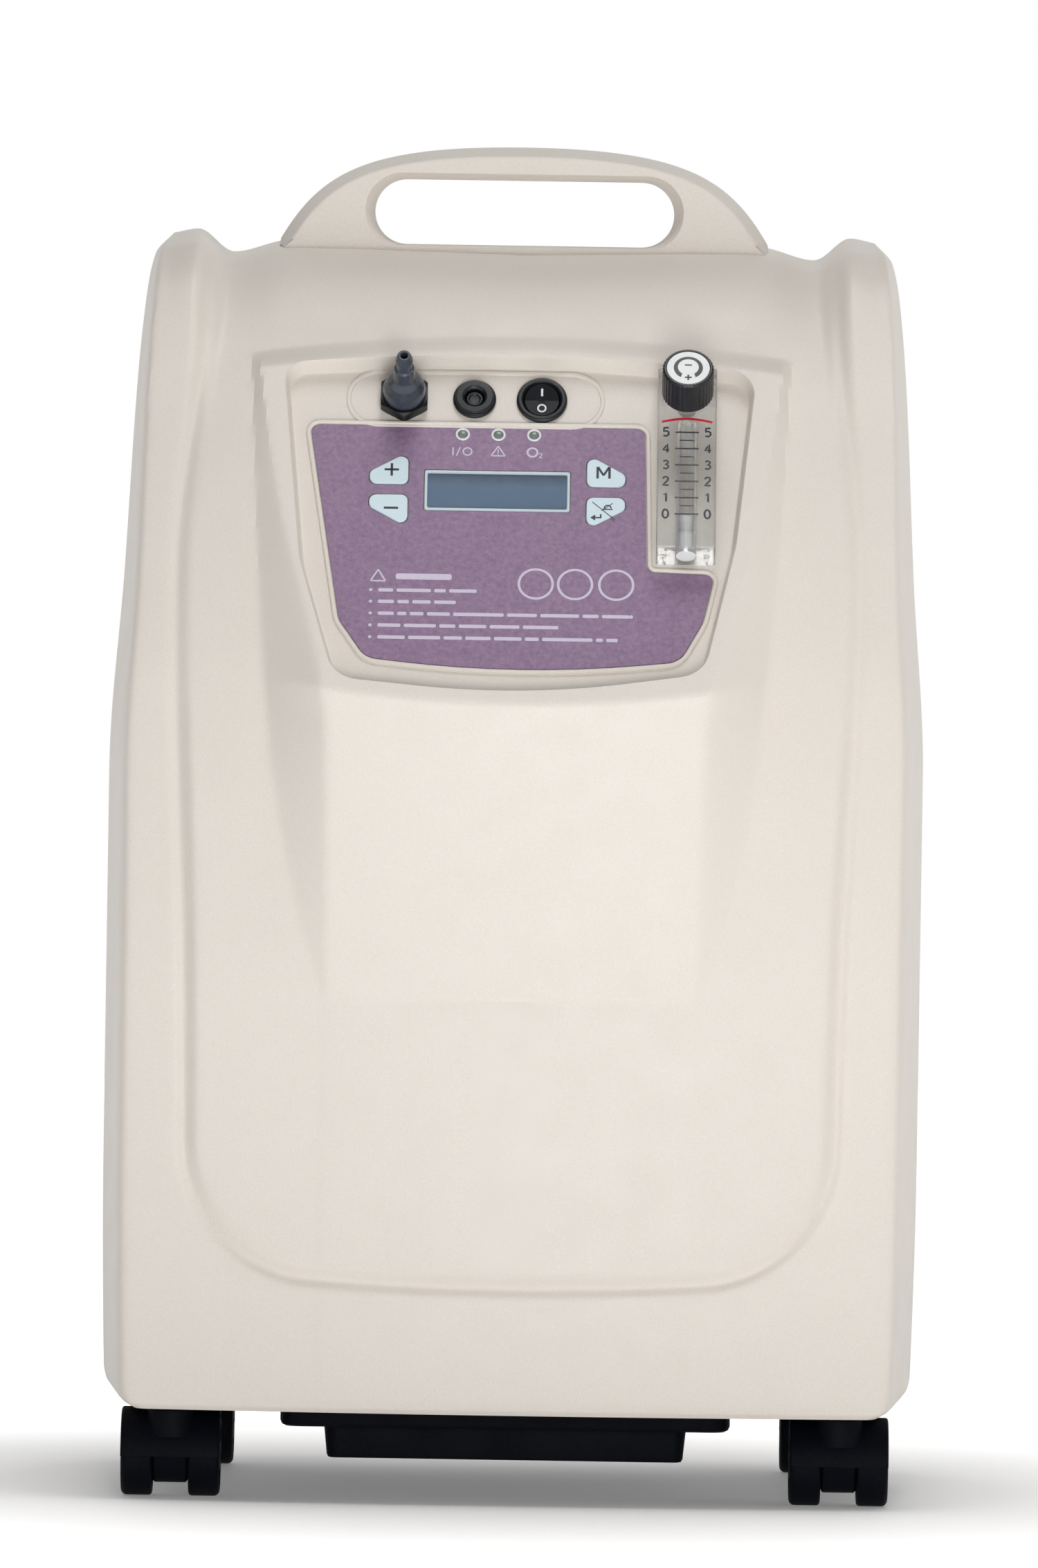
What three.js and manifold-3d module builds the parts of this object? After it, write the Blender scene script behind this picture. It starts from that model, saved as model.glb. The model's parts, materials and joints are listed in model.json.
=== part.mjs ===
// Home oxygen concentrator: a two-shell cabinet on twin-wheel casters, with a sloping control
// console at the front and the compressor, sieve beds and fan inside.
// Millimetres, +Z up. The front faces -Y, +X is to the right of someone who stands before it, and
// the origin is on the floor, at the centre of the overall box.
import * as THREE from "three";
import { mergeVertices } from "three/addons/utils/BufferGeometryUtils.js";
import Module from "manifold-3d";

const wasm = await Module();
wasm.setup();

// ---------------------------------------------------------------- driving dimensions
const WIDTH = 365; // overall, at the widest level of the cabinet
const DEPTH = 375; // overall, from the console's lip to the back wall
const HEIGHT = 600; // overall, floor to the top of the handle
const HANDLE_RISE = 45; // top of the handle above the cabinet's roof
const ROOF_Z = HEIGHT - HANDLE_RISE; // cabinet roof at the middle of the parting plane
const WALL = 3; // moulded wall of the shells
const GAP = 0.3; // clearance between pieces that touch
const RUN = 0.4; // clearance round pieces that move
const CUTTER_PAST = 20; // how far a cutter reaches past what it cuts

const PANEL_TILT = THREE.MathUtils.degToRad(30); // the console face leans back by this
const CONSOLE_LONG = 204; // from the lip up to the roof's level
const LIP_Z = ROOF_Z - CONSOLE_LONG; // height of the console's lip at the middle
const RECESS_DEPTH = 9; // of the control recess, square to the console face
const CONSOLE_BOSS = 15; // how much thicker the wall is behind the recess

const HANDLE_HALF = 112; // half width of the handle arch at its feet
const HANDLE_FACE = 24; // distance from the parting plane to the handle's front face
const HANDLE_BAR = 13; // thickness of the arch over the hand opening
const HANDLE_SUNK = 12; // how far the arch's feet reach into the roof
const HANDLE_LEAN = 3; // each foot's fall inwards to the bottom of the arch's curve
const HANDLE_CURVE_IN = 20; // how far in from the feet the arch's side curve is drawn
const HANDLE_CURVE_SHARE = 0.71; // and at which share of the rise
const HANDLE_SPRING_SHARE = 1 / 15; // share of the rise at which that curve starts
const HANDLE_CROWN = 2; // the arch turns level this far outside the hand opening
const GRIP_HALF = 70; // half width of the hand opening
const GRIP_SUNK = 1; // how far the hand opening reaches below the roof
const GRIP_TOP = HEIGHT - HANDLE_BAR;
const GRIP_BOTTOM = ROOF_Z - GRIP_SUNK;

const CASTER_INSET = 35.5; // swivel axis in from the cabinet's side
const CASTER_BACK = 65.5; // swivel axis in from the cabinet's front and back
const CASTER_TRAIL = 12; // wheel axle behind the swivel axis
const CASTER_WIDTH = 43.5;
const WHEEL_R = 18;
const HOOD_GAP = 0.8; // between a wheel and the hood over it
const HOOD_WALL = 2.2;
const HOOD_CLEAR = 1; // between a hood and the cabinet
const CABINET_BOTTOM = 2 * WHEEL_R + HOOD_GAP + HOOD_WALL + HOOD_CLEAR; // lower edge of both shells
const WHEEL_WIDTH = 13.8;
const STEM_R = 5.5;
const AXLE_R = 3;
const TRAY_THICK = 4;

const FRONT = -1; // which way a shell faces
const REAR = 1;
const { degToRad, smoothstep, clamp, lerp } = THREE.MathUtils;
const HALF_WIDTH = WIDTH / 2;
const HALF_DEPTH = DEPTH / 2;
const CASTER_X = HALF_WIDTH - CASTER_INSET;
const CASTER_Y = HALF_DEPTH - CASTER_BACK;
const FLANGE_THICK = 2.5; // of the power inlet, which stands proud of the back wall
const BACK = HALF_DEPTH - FLANGE_THICK; // distance from the parting plane to the back wall

// ---------------------------------------------------------------- solids
function solidOf(geometry) {
  const bare = geometry.clone();
  bare.deleteAttribute("normal");
  bare.deleteAttribute("uv");
  const merged = mergeVertices(bare, 1e-4);
  return new wasm.Manifold(
    new wasm.Mesh({
      numProp: 3,
      vertProperties: new Float32Array(merged.attributes.position.array),
      triVerts: new Uint32Array(merged.index.array),
    }),
  );
}

function geometryOf(solid) {
  const mesh = solid.getMesh();
  const points = new Float32Array(mesh.numVert * 3);
  for (let i = 0; i < mesh.numVert; i++) {
    const start = i * mesh.numProp;
    points.set(mesh.vertProperties.subarray(start, start + 3), i * 3);
  }
  const geometry = new THREE.BufferGeometry();
  geometry.setAttribute("position", new THREE.BufferAttribute(points, 3));
  geometry.setIndex(new THREE.BufferAttribute(mesh.triVerts, 1));
  return geometry;
}

const join = (...parts) => geometryOf(parts.map(solidOf).reduce((a, b) => a.add(b)));
const cut = (body, ...tools) =>
  geometryOf(tools.map(solidOf).reduce((a, b) => a.subtract(b), solidOf(body)));

// A box between two corners.
function box(low, high) {
  const size = high.map((value, i) => value - low[i]);
  const middle = high.map((value, i) => (value + low[i]) / 2);
  return new THREE.BoxGeometry(...size).translate(...middle);
}

// A cylinder about Z between two levels.
function disc(radius, low, high, sides = 16) {
  return new THREE.CylinderGeometry(radius, radius, high - low, sides)
    .rotateX(Math.PI / 2)
    .translate(0, 0, (high + low) / 2);
}

// An outline in X and Z, extruded along Y from low to high.
function slab(shape, low, high, steps = 3) {
  return new THREE.ExtrudeGeometry(shape, {
    depth: high - low,
    bevelEnabled: false,
    curveSegments: steps,
  })
    .rotateX(Math.PI / 2)
    .translate(0, high, 0);
}

// A profile of [radius, level] pairs from the axis back to the axis, turned about Z.
function turned(profile, sides = 16) {
  const points = profile.map(([radius, level]) => new THREE.Vector2(radius, level));
  return new THREE.LatheGeometry(points, sides).rotateX(Math.PI / 2);
}

// A profile of [radius, level] pairs that closes on itself, turned about Z: a ring.
const ring = (profile, sides = 16) => turned([...profile, profile[0]], sides);

// A closed polygon whose corners are rounded, each corner being [x, y, radius].
function rounded(corners) {
  const shape = new THREE.Shape();
  corners.forEach(([x, y, radius], i) => {
    const here = new THREE.Vector2(x, y);
    const before = corners[(i + corners.length - 1) % corners.length];
    const after = corners[(i + 1) % corners.length];
    const back = new THREE.Vector2(before[0] - x, before[1] - y).normalize();
    const on = new THREE.Vector2(after[0] - x, after[1] - y).normalize();
    const reach = radius / Math.tan(back.angleTo(on) / 2);
    const enter = here.clone().addScaledVector(back, reach);
    const leave = here.clone().addScaledVector(on, reach);
    if (i) shape.lineTo(enter.x, enter.y);
    else shape.moveTo(enter.x, enter.y);
    if (radius) shape.quadraticCurveTo(x, y, leave.x, leave.y);
  });
  shape.closePath();
  return shape;
}

const rectangle = (width, height, radius, x = 0, y = 0) =>
  rounded([
    [x - width / 2, y - height / 2, radius],
    [x + width / 2, y - height / 2, radius],
    [x + width / 2, y + height / 2, radius],
    [x - width / 2, y + height / 2, radius],
  ]);

function circle(radius, x = 0, y = 0) {
  return new THREE.Shape().absarc(x, y, radius, 0, 2 * Math.PI);
}

// ---------------------------------------------------------------- cabinet surfaces
// A smooth curve through [position, value] stations, flat beyond the first and the last.
function along(stations, t) {
  const last = stations.length - 1;
  if (t <= stations[0][0]) return stations[0][1];
  if (t >= stations[last][0]) return stations[last][1];
  const i = stations.findIndex(([position]) => position > t) - 1;
  const slope = (k) => (stations[k + 1][1] - stations[k][1]) / (stations[k + 1][0] - stations[k][0]);
  // The slope at a station: none at a crest or beside a level stretch, so the curve never overshoots.
  const tangent = (k) => {
    const before = slope(Math.max(k - 1, 0));
    const after = slope(Math.min(k, last - 1));
    return before * after > 0 ? (2 * before * after) / (before + after) : 0;
  };
  const [t0, v0] = stations[i];
  const [t1, v1] = stations[i + 1];
  const span = t1 - t0;
  const u = (t - t0) / span;
  const bend = 3 * u * u - 2 * u * u * u;
  return (
    v0 + (v1 - v0) * bend
    + u * (1 - u) * ((1 - u) * tangent(i) - u * tangent(i + 1)) * span
  );
}

// Stations of a profile: the levels of some count up from the cabinet's bottom edge, and those of
// others down from its roof. Their values are the distances that the profile falls short of full.
const upFrom = (level, full, stations) =>
  stations.map(([rise, short]) => [level + rise, full - short]);
const fromRoof = (full, stations) => stations.map(([drop, short]) => [ROOF_Z - drop, full - short]);
const closed = [ROOF_Z, 0];

// Each profile gives distances from the parting plane at levels below the roof line.
const FRAME_PROFILE = [
  ...upFrom(CABINET_BOTTOM, HALF_DEPTH, [[0, 26.5], [2.5, 23.6], [7, 22.4], [60, 19.5]]),
  ...fromRoof(HALF_DEPTH, [
    [331, 20.5], [200, 33.5], [145, 48], [105, 61.5], [75, 73.5], [50, 82.5],
    [25, 98.5], [9, 127.5],
  ]),
  closed,
];
const INNER_PROFILE = [
  ...upFrom(CABINET_BOTTOM, HALF_DEPTH, [[0, 23.5], [2.5, 20.6], [7, 19.4], [60, 16.5]]),
  ...fromRoof(HALF_DEPTH, [
    [331, 16.5], [255, 21.5], [200, 30.5], [155, 42], [105, 60.2], [75, 76.7],
    [50, 92], [43, 97], [20, 120.5], [7, 149.5],
  ]),
  closed,
];
const REAR_PROFILE = [
  ...upFrom(CABINET_BOTTOM, BACK, [[0, 5.5], [3, 2.2], [8, 1], [30, 0]]),
  ...fromRoof(BACK, [[115, 0], [75, 5.5], [40, 34.5], [15, 92.5]]),
  closed,
];
// Half width of the cabinet at each level.
const SIDE_PROFILE = [
  ...upFrom(CABINET_BOTTOM, HALF_WIDTH, [[0, 9.5], [2.5, 5.2], [6, 2.8], [12, 1.6], [110, 0]]),
  ...fromRoof(HALF_WIDTH, [[235, 0], [147, 5.5], [57, 10.4], [25, 13.7], [9, 17.3], [0, 25.5]]),
];
// Roof line at the parting plane, as [inwards from the side, above ROOF_Z]: a valley beside each
// raised edge.
const ROOF_LINE = [[25.5, 4.5], [36.5, 6.5], [52.5, -3.5], [77.5, 2], [HALF_WIDTH, 0]];
const FRONT_BOW = 16; // how far the front falls back towards its sides
const REAR_ROLL = 32.5; // how far in from the side the back wall starts to curl forward
const REAR_CURL = 0.01; // its fall for each square millimetre beyond that
const ROOF_BLEND = 55; // how far below the roof its line still shows
const BOTTOM_BLEND = 20; // how far above the bottom edge its rounding still shows inside
const SIDE_DRAFT = 14; // depth gained for each unit in from the silhouette
const CORNER_POWER = 10; // how tight the corner between two walls is

// The front's U-shaped groove line: half width, bottom level, corner radius and half breadth.
const GROOVE_HALF = fromRoof(HALF_WIDTH, [
  [455, 43.5], [325, 41.5], [147, 34.5], [55, 42.5], [0, 45.5],
]);
const GROOVE_BOTTOM = CABINET_BOTTOM + 62;
const GROOVE_CORNER = 52;
const GROOVE_BREADTH = 4.5;

// The console's upper fold and its foot on the front face: [up from the lip, half width].
const CONSOLE_BASE = LIP_Z - 125;
const CONSOLE_FOLD = upFrom(LIP_Z, 0, [
  [-125, -81], [-11, -83], [19, -88], [79, -104], [129, -113], [161, -117],
]);
const CONSOLE_FOOT = upFrom(LIP_Z, 0, [
  [-125, -83], [-90, -94], [-58, -101], [-7, -108.5], [79, -115], [161, -119],
]);
const CONSOLE_BOW = 4; // fall of the lip from the middle to its ends
const CONSOLE_FALL = 0.12; // backward lean of the face below the lip
const CONSOLE_HALF = 82;
const CONSOLE_TOP = LIP_Z + 158; // where the console's plane ends at the middle
const CONSOLE_TOP_BOW = 8; // fall of that edge from the middle to its corners
const CONSOLE_TOP_HALF = 115;
const CONSOLE_TOP_BLEND = 3; // half height over which its step fades out

const SIDE_WALL_SHARE = 1.3; // wall thickness of the console's slanting sides, along X
const halfWidth = (z) => along(SIDE_PROFILE, z);
const roofShift = (x) => along(ROOF_LINE, HALF_WIDTH - Math.abs(x));

// 1 inside the groove's U, 0 outside it, from the distance to a rounded box open at the top.
function insideGroove(x, z) {
  const half = along(GROOVE_HALF, z);
  const across = Math.abs(x) - (half - GROOVE_CORNER);
  const down = GROOVE_BOTTOM + GROOVE_CORNER - z;
  const distance =
    Math.hypot(Math.max(across, 0), Math.max(down, 0))
    + Math.min(Math.max(across, down), 0) - GROOVE_CORNER;
  return 1 - smoothstep(distance, -GROOVE_BREADTH, GROOVE_BREADTH);
}

// How far a point of the console is up its side wall: 0 at the foot, 1 on its face, fading to 0
// over its top edge. The inside of the wall keeps its distance from the outside by inset.
function consoleShare(x, z, inset) {
  const narrowed = SIDE_WALL_SHARE * inset;
  const fold = along(CONSOLE_FOLD, z) - narrowed;
  const foot = along(CONSOLE_FOOT, z) - narrowed;
  const top = CONSOLE_TOP - CONSOLE_TOP_BOW * (x / CONSOLE_TOP_HALF) ** 2;
  const below = 1 - smoothstep(z, top - CONSOLE_TOP_BLEND, top + CONSOLE_TOP_BLEND);
  return below * clamp((foot - Math.abs(x)) / (foot - fold), 0, 1);
}

function consoleFace(x, z) {
  const sloping = HALF_DEPTH - (z - LIP_Z) * Math.tan(PANEL_TILT);
  const bowed = HALF_DEPTH - CONSOLE_BOW * (x / CONSOLE_HALF) ** 2 - (LIP_Z - z) * CONSOLE_FALL;
  return Math.min(sloping, bowed);
}

// The front without its console.
function plainDepth(x, z) {
  const frame = along(FRAME_PROFILE, z);
  const bow = FRONT_BOW * (x / HALF_WIDTH) ** 2 * smoothstep(frame, 0, HALF_DEPTH / 2);
  return lerp(frame, along(INNER_PROFILE, z), insideGroove(x, z)) - bow;
}

function frontDepth(x, z, inset) {
  const plain = plainDepth(x, z);
  const rise = z > CONSOLE_BASE ? consoleFace(x, z) - plain : 0;
  return plain + Math.max(rise, 0) * consoleShare(x, z, inset);
}

function rearDepth(x, z) {
  const beyond = Math.max(Math.abs(x) - HALF_WIDTH + REAR_ROLL, 0);
  return along(REAR_PROFILE, z) - beyond * beyond * REAR_CURL;
}

// Depth of a shell at (x, z), limited by the side wall, with walls moved in by inset: also down
// by inset, except close to the bottom edge.
function shellDepth(facing, x, z, inset, front = frontDepth) {
  const down = inset * smoothstep(z, CABINET_BOTTOM, CABINET_BOTTOM + BOTTOM_BLEND);
  const level = z + down - roofShift(x) * smoothstep(z, ROOF_Z - ROOF_BLEND, ROOF_Z);
  const face = facing === FRONT ? front(x, level, inset) : rearDepth(x, level);
  const side = SIDE_DRAFT * Math.max(halfWidth(level) - inset - Math.abs(x), 0);
  const inner = Math.max(face - inset, 0);
  if (!inner || !side) return 0;
  return (inner ** -CORNER_POWER + side ** -CORNER_POWER) ** (-1 / CORNER_POWER);
}

// Extra wall thickness behind the control recess, faded out past its edges.
const BOSS_START = [LIP_Z - 21, LIP_Z - 6];
const BOSS_END = [LIP_Z + 161, LIP_Z + 179];
function consoleBoss(x, z) {
  const fold = along(CONSOLE_FOLD, z);
  const inside = 1 - smoothstep(Math.abs(x), fold - 1, fold + 8);
  return CONSOLE_BOSS * inside * smoothstep(z, ...BOSS_START) * (1 - smoothstep(z, ...BOSS_END));
}

const COLUMNS = 20;
const EDGE_ROWS = [3, 8]; // rows that round the bottom edge, above it
const ROWS_BELOW = 6; // rows from there to the lip
const ROWS_ABOVE = 15; // rows from the lip to the roof line, closer towards the roof

// A shell: an outer and an inner surface over one grid, closed along its edges.
function shell(facing) {
  const positions = [];
  const levels = [CABINET_BOTTOM, CABINET_BOTTOM + EDGE_ROWS[0]];
  const start = CABINET_BOTTOM + EDGE_ROWS[1];
  for (let row = 0; row <= ROWS_BELOW; row++) levels.push(lerp(start, LIP_Z, row / ROWS_BELOW));
  for (let row = 1; row <= ROWS_ABOVE; row++)
    levels.push(lerp(LIP_Z, ROOF_Z, 1 - (1 - row / ROWS_ABOVE) ** 2));
  const inner = levels.length * (COLUMNS + 1);
  for (const inset of [0, WALL])
    for (const level of levels)
      for (let column = 0; column <= COLUMNS; column++) {
        const share = Math.sin(Math.PI * (column / COLUMNS - 0.5));
        const x = share * (halfWidth(level) - inset);
        const top = ROOF_Z - inset + roofShift(x);
        const z = level + (top - ROOF_Z) * smoothstep(level, ROOF_Z - ROOF_BLEND, ROOF_Z);
        const boss = inset && facing === FRONT ? consoleBoss(x, z) : 0;
        const edge = column === 0 || column === COLUMNS || level === ROOF_Z;
        const depth = edge ? 0 : Math.max(shellDepth(facing, x, z, inset) - boss, 0);
        positions.push(x, facing * Math.max(depth, GAP / 2), z);
      }
  const index = [];
  const quad = (a, b, c, d) => index.push(a, b, c, a, c, d);
  const at = (row, column) => row * (COLUMNS + 1) + column;
  const last = levels.length - 1;
  for (let row = 0; row < last; row++)
    for (let column = 0; column < COLUMNS; column++) {
      const [a, b] = [at(row, column), at(row, column + 1)];
      const [c, d] = [at(row + 1, column + 1), at(row + 1, column)];
      quad(a, b, c, d);
      quad(inner + d, inner + c, inner + b, inner + a);
    }
  for (let row = 0; row < last; row++)
    for (const column of [0, COLUMNS]) {
      const [a, b] = [at(row, column), at(row + 1, column)];
      if (column) quad(a, inner + a, inner + b, b);
      else quad(b, inner + b, inner + a, a);
    }
  for (let column = 0; column < COLUMNS; column++)
    for (const row of [0, last]) {
      const [a, b] = [at(row, column), at(row, column + 1)];
      if (row) quad(a, b, inner + b, inner + a);
      else quad(b, a, inner + a, inner + b);
    }
  if (facing === REAR)
    for (let i = 0; i < index.length; i += 3) [index[i], index[i + 1]] = [index[i + 1], index[i]];
  const geometry = new THREE.BufferGeometry();
  geometry.setAttribute("position", new THREE.Float32BufferAttribute(positions, 3));
  geometry.setIndex(index);
  return geometry;
}

// Half of the handle arch, from the parting plane to its face, with its foot sunk into the roof.
function handleHalf(facing) {
  const foot = ROOF_Z - HANDLE_SUNK;
  const spring = HANDLE_HALF - HANDLE_LEAN; // where the curve springs from, just over the roof
  const springZ = ROOF_Z + HANDLE_RISE * HANDLE_SPRING_SHARE;
  const side = HANDLE_HALF - HANDLE_CURVE_IN;
  const sideZ = ROOF_Z + HANDLE_RISE * HANDLE_CURVE_SHARE;
  const crown = GRIP_HALF + HANDLE_CROWN;
  const arch = new THREE.Shape();
  arch.moveTo(-HANDLE_HALF, foot);
  arch.lineTo(HANDLE_HALF, foot);
  arch.lineTo(spring, springZ);
  arch.bezierCurveTo(side, sideZ, crown, HEIGHT, 0, HEIGHT);
  arch.bezierCurveTo(-crown, HEIGHT, -side, sideZ, -spring, springZ);
  const bar = slab(arch, GAP / 2, HANDLE_FACE, 5);
  return facing === FRONT ? bar.translate(0, -HANDLE_FACE - GAP / 2, 0) : bar;
}

// The hand opening, cut right through the cabinet's top from front to back.
function gripCutter() {
  const radius = (GRIP_TOP - GRIP_BOTTOM) / 2;
  const shape = rectangle(2 * GRIP_HALF, GRIP_TOP - GRIP_BOTTOM, radius, 0, GRIP_BOTTOM + radius);
  return slab(shape, -HANDLE_FACE - CUTTER_PAST, HANDLE_FACE + CUTTER_PAST, 4);
}

// ---------------------------------------------------------------- the console's own frame
// X to the right, Z up along the face from the middle of the lip, -Y out of the face.
const toConsole = new THREE.Matrix4()
  .makeRotationX(-PANEL_TILT)
  .setPosition(0, -HALF_DEPTH, LIP_Z);
const onConsole = (geometry) => geometry.clone().applyMatrix4(toConsole);
const FLOOR = RECESS_DEPTH; // local Y of the recess floor
const THROUGH = FLOOR + 2 * CUTTER_PAST; // a cutter's far end, well behind the wall

const RECESS = [
  [-104, 172, 10], [0, 178, 600], [103, 170, 12], [94.5, 82, 60], [81, 17, 14], [3, 4.5, 350],
  [-79, 13, 14], [-95, 72, 60],
];
const METER = { right: 86.2, width: 26, bottom: 76, top: 168, proud: 16 };
const METER_X = METER.right - METER.width / 2;
const LABEL_NOTCH = METER.right - METER.width - 3.9; // the label's edge beside the flowmeter
const LABEL = [
  [-92.5, 145, 4], [LABEL_NOTCH - 1.5, 145, 4], [LABEL_NOTCH, METER.bottom - 4, 4],
  [86, METER.bottom - 5, 4], [81, 47, 20], [71, 27, 10],
  [1, 19, 450], [-66, 27, 10], [-78, 46, 12],
];
const LABEL_THICK = 0.6;
const FITTING_LEVEL = 159; // height up the face of the row of fittings
const NOZZLE_X = -51.5;
const BREAKER_X = -20.5;
const SWITCH_X = 9.2;
const LED_LEVEL = 141;
const LED_X = [-25.4, -9.7, 6];
const LED_R = 2.1;
const DISPLAY = { x: -9.8, level: 112.2, width: 64, height: 20.5, thick: 2.4 };
const KEY_WIDTH = 17;
const KEY_HEIGHT = 16.5;
const KEY_THICK = 2.2;
const KEY_TRAVEL = 0.6;
const KEY_PROUD = 0.7; // of the label, at rest
const KEYS = [
  { name: "key_plus", x: -57.5, level: 123.2, out: -1, up: 1 },
  { name: "key_minus", x: -57.5, level: 101.2, out: -1, up: -1 },
  { name: "key_mode", x: 38, level: 123.2, out: 1, up: 1 },
  { name: "key_mute", x: 38, level: 101.2, out: 1, up: -1 },
];
const METER_SPIGOT_R = 4;
const METER_SPIGOTS = [METER.bottom + 12, METER.top - 12];
const METER_BORE_R = 4.6;
const METER_BORE_TOP = 143;
const FLOAT_R = 3.6;
const FLOAT_LONG = 9;
const FLOAT_TRAVEL = 42;
const METER_PLUG = 10;
const KNOB_R = 11.3;
const KNOB_LONG = 18;
const KNOB_TILT = degToRad(10); // the valve leans up from square to the face
const KNOB_LEVEL = 152;
const KNOB_STEM_R = 3;
const KNOB_STEM_LONG = 6;

const NUT_FLATS = 20.6;
const NUT_THICK = 5.5;
const NOZZLE_STEM_R = 5;
const SHANK_LONG = 24; // behind the recess floor
const BREAKER = { rim: 9.5, proud: 3.6, barrel: 6, well: 4.4, depth: 20 };
const BREAKER_TRAVEL = 4;
const SWITCH = { rim: 11.2, proud: 2.2, barrel: 9.4, well: 8.1, depth: 14 };
const ROCKER_R = 7.5;
const ROCKER_HALF = 2.2;
const ROCKER_THROW = degToRad(18);

// A key's outline: a rounded triangle-like cap, straight towards the display.
function keyShape(key, grow) {
  const half = KEY_WIDTH / 2 + grow;
  const tall = KEY_HEIGHT / 2 + grow;
  const corner = (across, up, radius) => [
    key.x + key.out * across, key.level + key.up * up, radius,
  ];
  const corners = [
    corner(-half, tall, 3.5), corner(-half, -tall, 3), corner(half, -tall, 3.5),
    corner(half, -tall / 4, 3.5),
  ];
  return rounded(key.out * key.up > 0 ? corners : corners.reverse());
}

// What stands in a hole or pocket of the recess floor, as cutters in the console's frame.
function consoleCutters() {
  const hole = (radius, x, level) => slab(circle(radius, x, level), FLOOR - 1, THROUGH, 8);
  const pocket = (shape, depth) => slab(shape, FLOOR - 1, FLOOR + depth);
  const meterHole = METER_SPIGOT_R + GAP;
  return [
    slab(rounded(RECESS), -2 * CUTTER_PAST, FLOOR),
    hole(NOZZLE_STEM_R + GAP, NOZZLE_X, FITTING_LEVEL),
    hole(BREAKER.barrel + GAP, BREAKER_X, FITTING_LEVEL),
    hole(SWITCH.barrel + GAP, SWITCH_X, FITTING_LEVEL),
    ...LED_X.map((x) => hole(LED_R + GAP, x, LED_LEVEL)),
    ...METER_SPIGOTS.map((level) => hole(meterHole, METER_X, level)),
    pocket(
      rectangle(DISPLAY.width + 2 * GAP, DISPLAY.height + 2 * GAP, 1, DISPLAY.x, DISPLAY.level),
      DISPLAY.thick,
    ),
    ...KEYS.map((key) => pocket(keyShape(key, RUN), KEY_THICK + KEY_TRAVEL)),
  ].map(onConsole);
}

// ---------------------------------------------------------------- rear details
const FILTER_BELOW_ROOF = 185;
const FILTER = { width: 150, height: 112, z: ROOF_Z - FILTER_BELOW_ROOF, deep: 16, wall: 2 };
const FILTER_COVER_THICK = 4;
const FOAM_THICK = 6;
const FINGER_NOTCH = { width: 40, height: 12 };
const INLET = { x: -70, z: 105, width: 27.5, height: 21, flange: 5, depth: 24 };
const INLET_CAVITY = { width: 24.4, height: 16.6, depth: 17 };
const INLET_PIN = { width: 1.8, height: 4, length: 12, spacing: 7, drop: 2 };
const LOUVRES = 7;
const LOUVRE_HEIGHT = 6;
const LOUVRE_MARGIN = 24; // of the plate's width and height, beyond the louvres

// Evenly spaced slots across a rectangle, as cutters along Y.
function louvres(width, height, z, low, high, count = LOUVRES) {
  const pitch = height / count;
  return Array.from({ length: count }, (_, i) => {
    const level = z - height / 2 + pitch * (i + 0.5);
    return box(
      [-width / 2, low, level - LOUVRE_HEIGHT / 2],
      [width / 2, high, level + LOUVRE_HEIGHT / 2],
    );
  });
}

// ---------------------------------------------------------------- the assembly
const device = new THREE.Group();
const material = (color, roughness, metalness = 0) =>
  new THREE.MeshStandardMaterial({ color, roughness, metalness });
const CREAM = material(0xe6dfd6, 0.55);
const BLACK = material(0x16171a, 0.45);
const SLATE = material(0x3a4550, 0.35);
const LILAC = material(0x8b708f, 0.5);
const PALE = material(0xd7ebf0, 0.4);
const LCD_GREY = material(0x5f7385, 0.25);
const LED_GREEN = material(0x7c9086, 0.3);
const ACRYLIC = material(0xc9d2d0, 0.1);
const STEEL = material(0xa9adb0, 0.4, 0.9);
const ALUMINIUM = material(0xb8bbbd, 0.5, 0.8);
const RUBBER = material(0x222222, 0.9);
const COPPER = material(0xb5714a, 0.35, 0.9);
const BOARD = material(0x2c6b47, 0.5);
const FOAM = material(0x3b3b3d, 0.95);
const WHITE = material(0xe9eaea, 0.5);

function add(name, geometry, finish, parent = device) {
  const mesh = new THREE.Mesh(geometry, finish);
  mesh.name = name;
  parent.add(mesh);
  return mesh;
}

// -- shells
add(
  "front_shell",
  cut(join(shell(FRONT), handleHalf(FRONT)), gripCutter(), ...consoleCutters()),
  CREAM,
);
add(
  "rear_shell",
  cut(
    join(shell(REAR), handleHalf(REAR)),
    gripCutter(),
    slab(rectangle(FILTER.width, FILTER.height, 6, 0, FILTER.z), BACK - CUTTER_PAST, BACK + CUTTER_PAST),
    slab(
      rectangle(INLET.width + 2 * GAP, INLET.height + 2 * GAP, 0, INLET.x, INLET.z),
      BACK - CUTTER_PAST,
      BACK + CUTTER_PAST,
    ),
  ),
  CREAM,
);

const PLATE_GAP = 2; // round the edge of a floor plate
// A level plate that fills the cabinet's inside at one height, except for the console's room.
function floorPlate(low, high) {
  const inset = WALL + PLATE_GAP;
  const outline = new THREE.Shape();
  for (const facing of [FRONT, REAR])
    for (let column = 0; column <= COLUMNS; column++) {
      const share = -facing * Math.sin(Math.PI * (column / COLUMNS - 0.5));
      const x = share * (halfWidth(low) - inset);
      const end = column === 0 || column === COLUMNS;
      if (end && facing === REAR) continue;
      const y = end ? 0 : facing * shellDepth(facing, x, low, inset, plainDepth);
      if (column === 0) outline.moveTo(x, y);
      else outline.lineTo(x, y);
    }
  const plate = new THREE.ExtrudeGeometry(outline, { depth: high - low, bevelEnabled: false });
  return plate.translate(0, 0, low);
}

// -- base: the tray that the casters and the outlet box hang from
const CORNERS = [
  ["front_left", -1, -1], ["front_right", 1, -1], ["rear_left", -1, 1], ["rear_right", 1, 1],
];
const TRAY_TOP = CABINET_BOTTOM + TRAY_THICK;
const BOSS_R = 10;
const BOSS_HIGH = 12;
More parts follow.
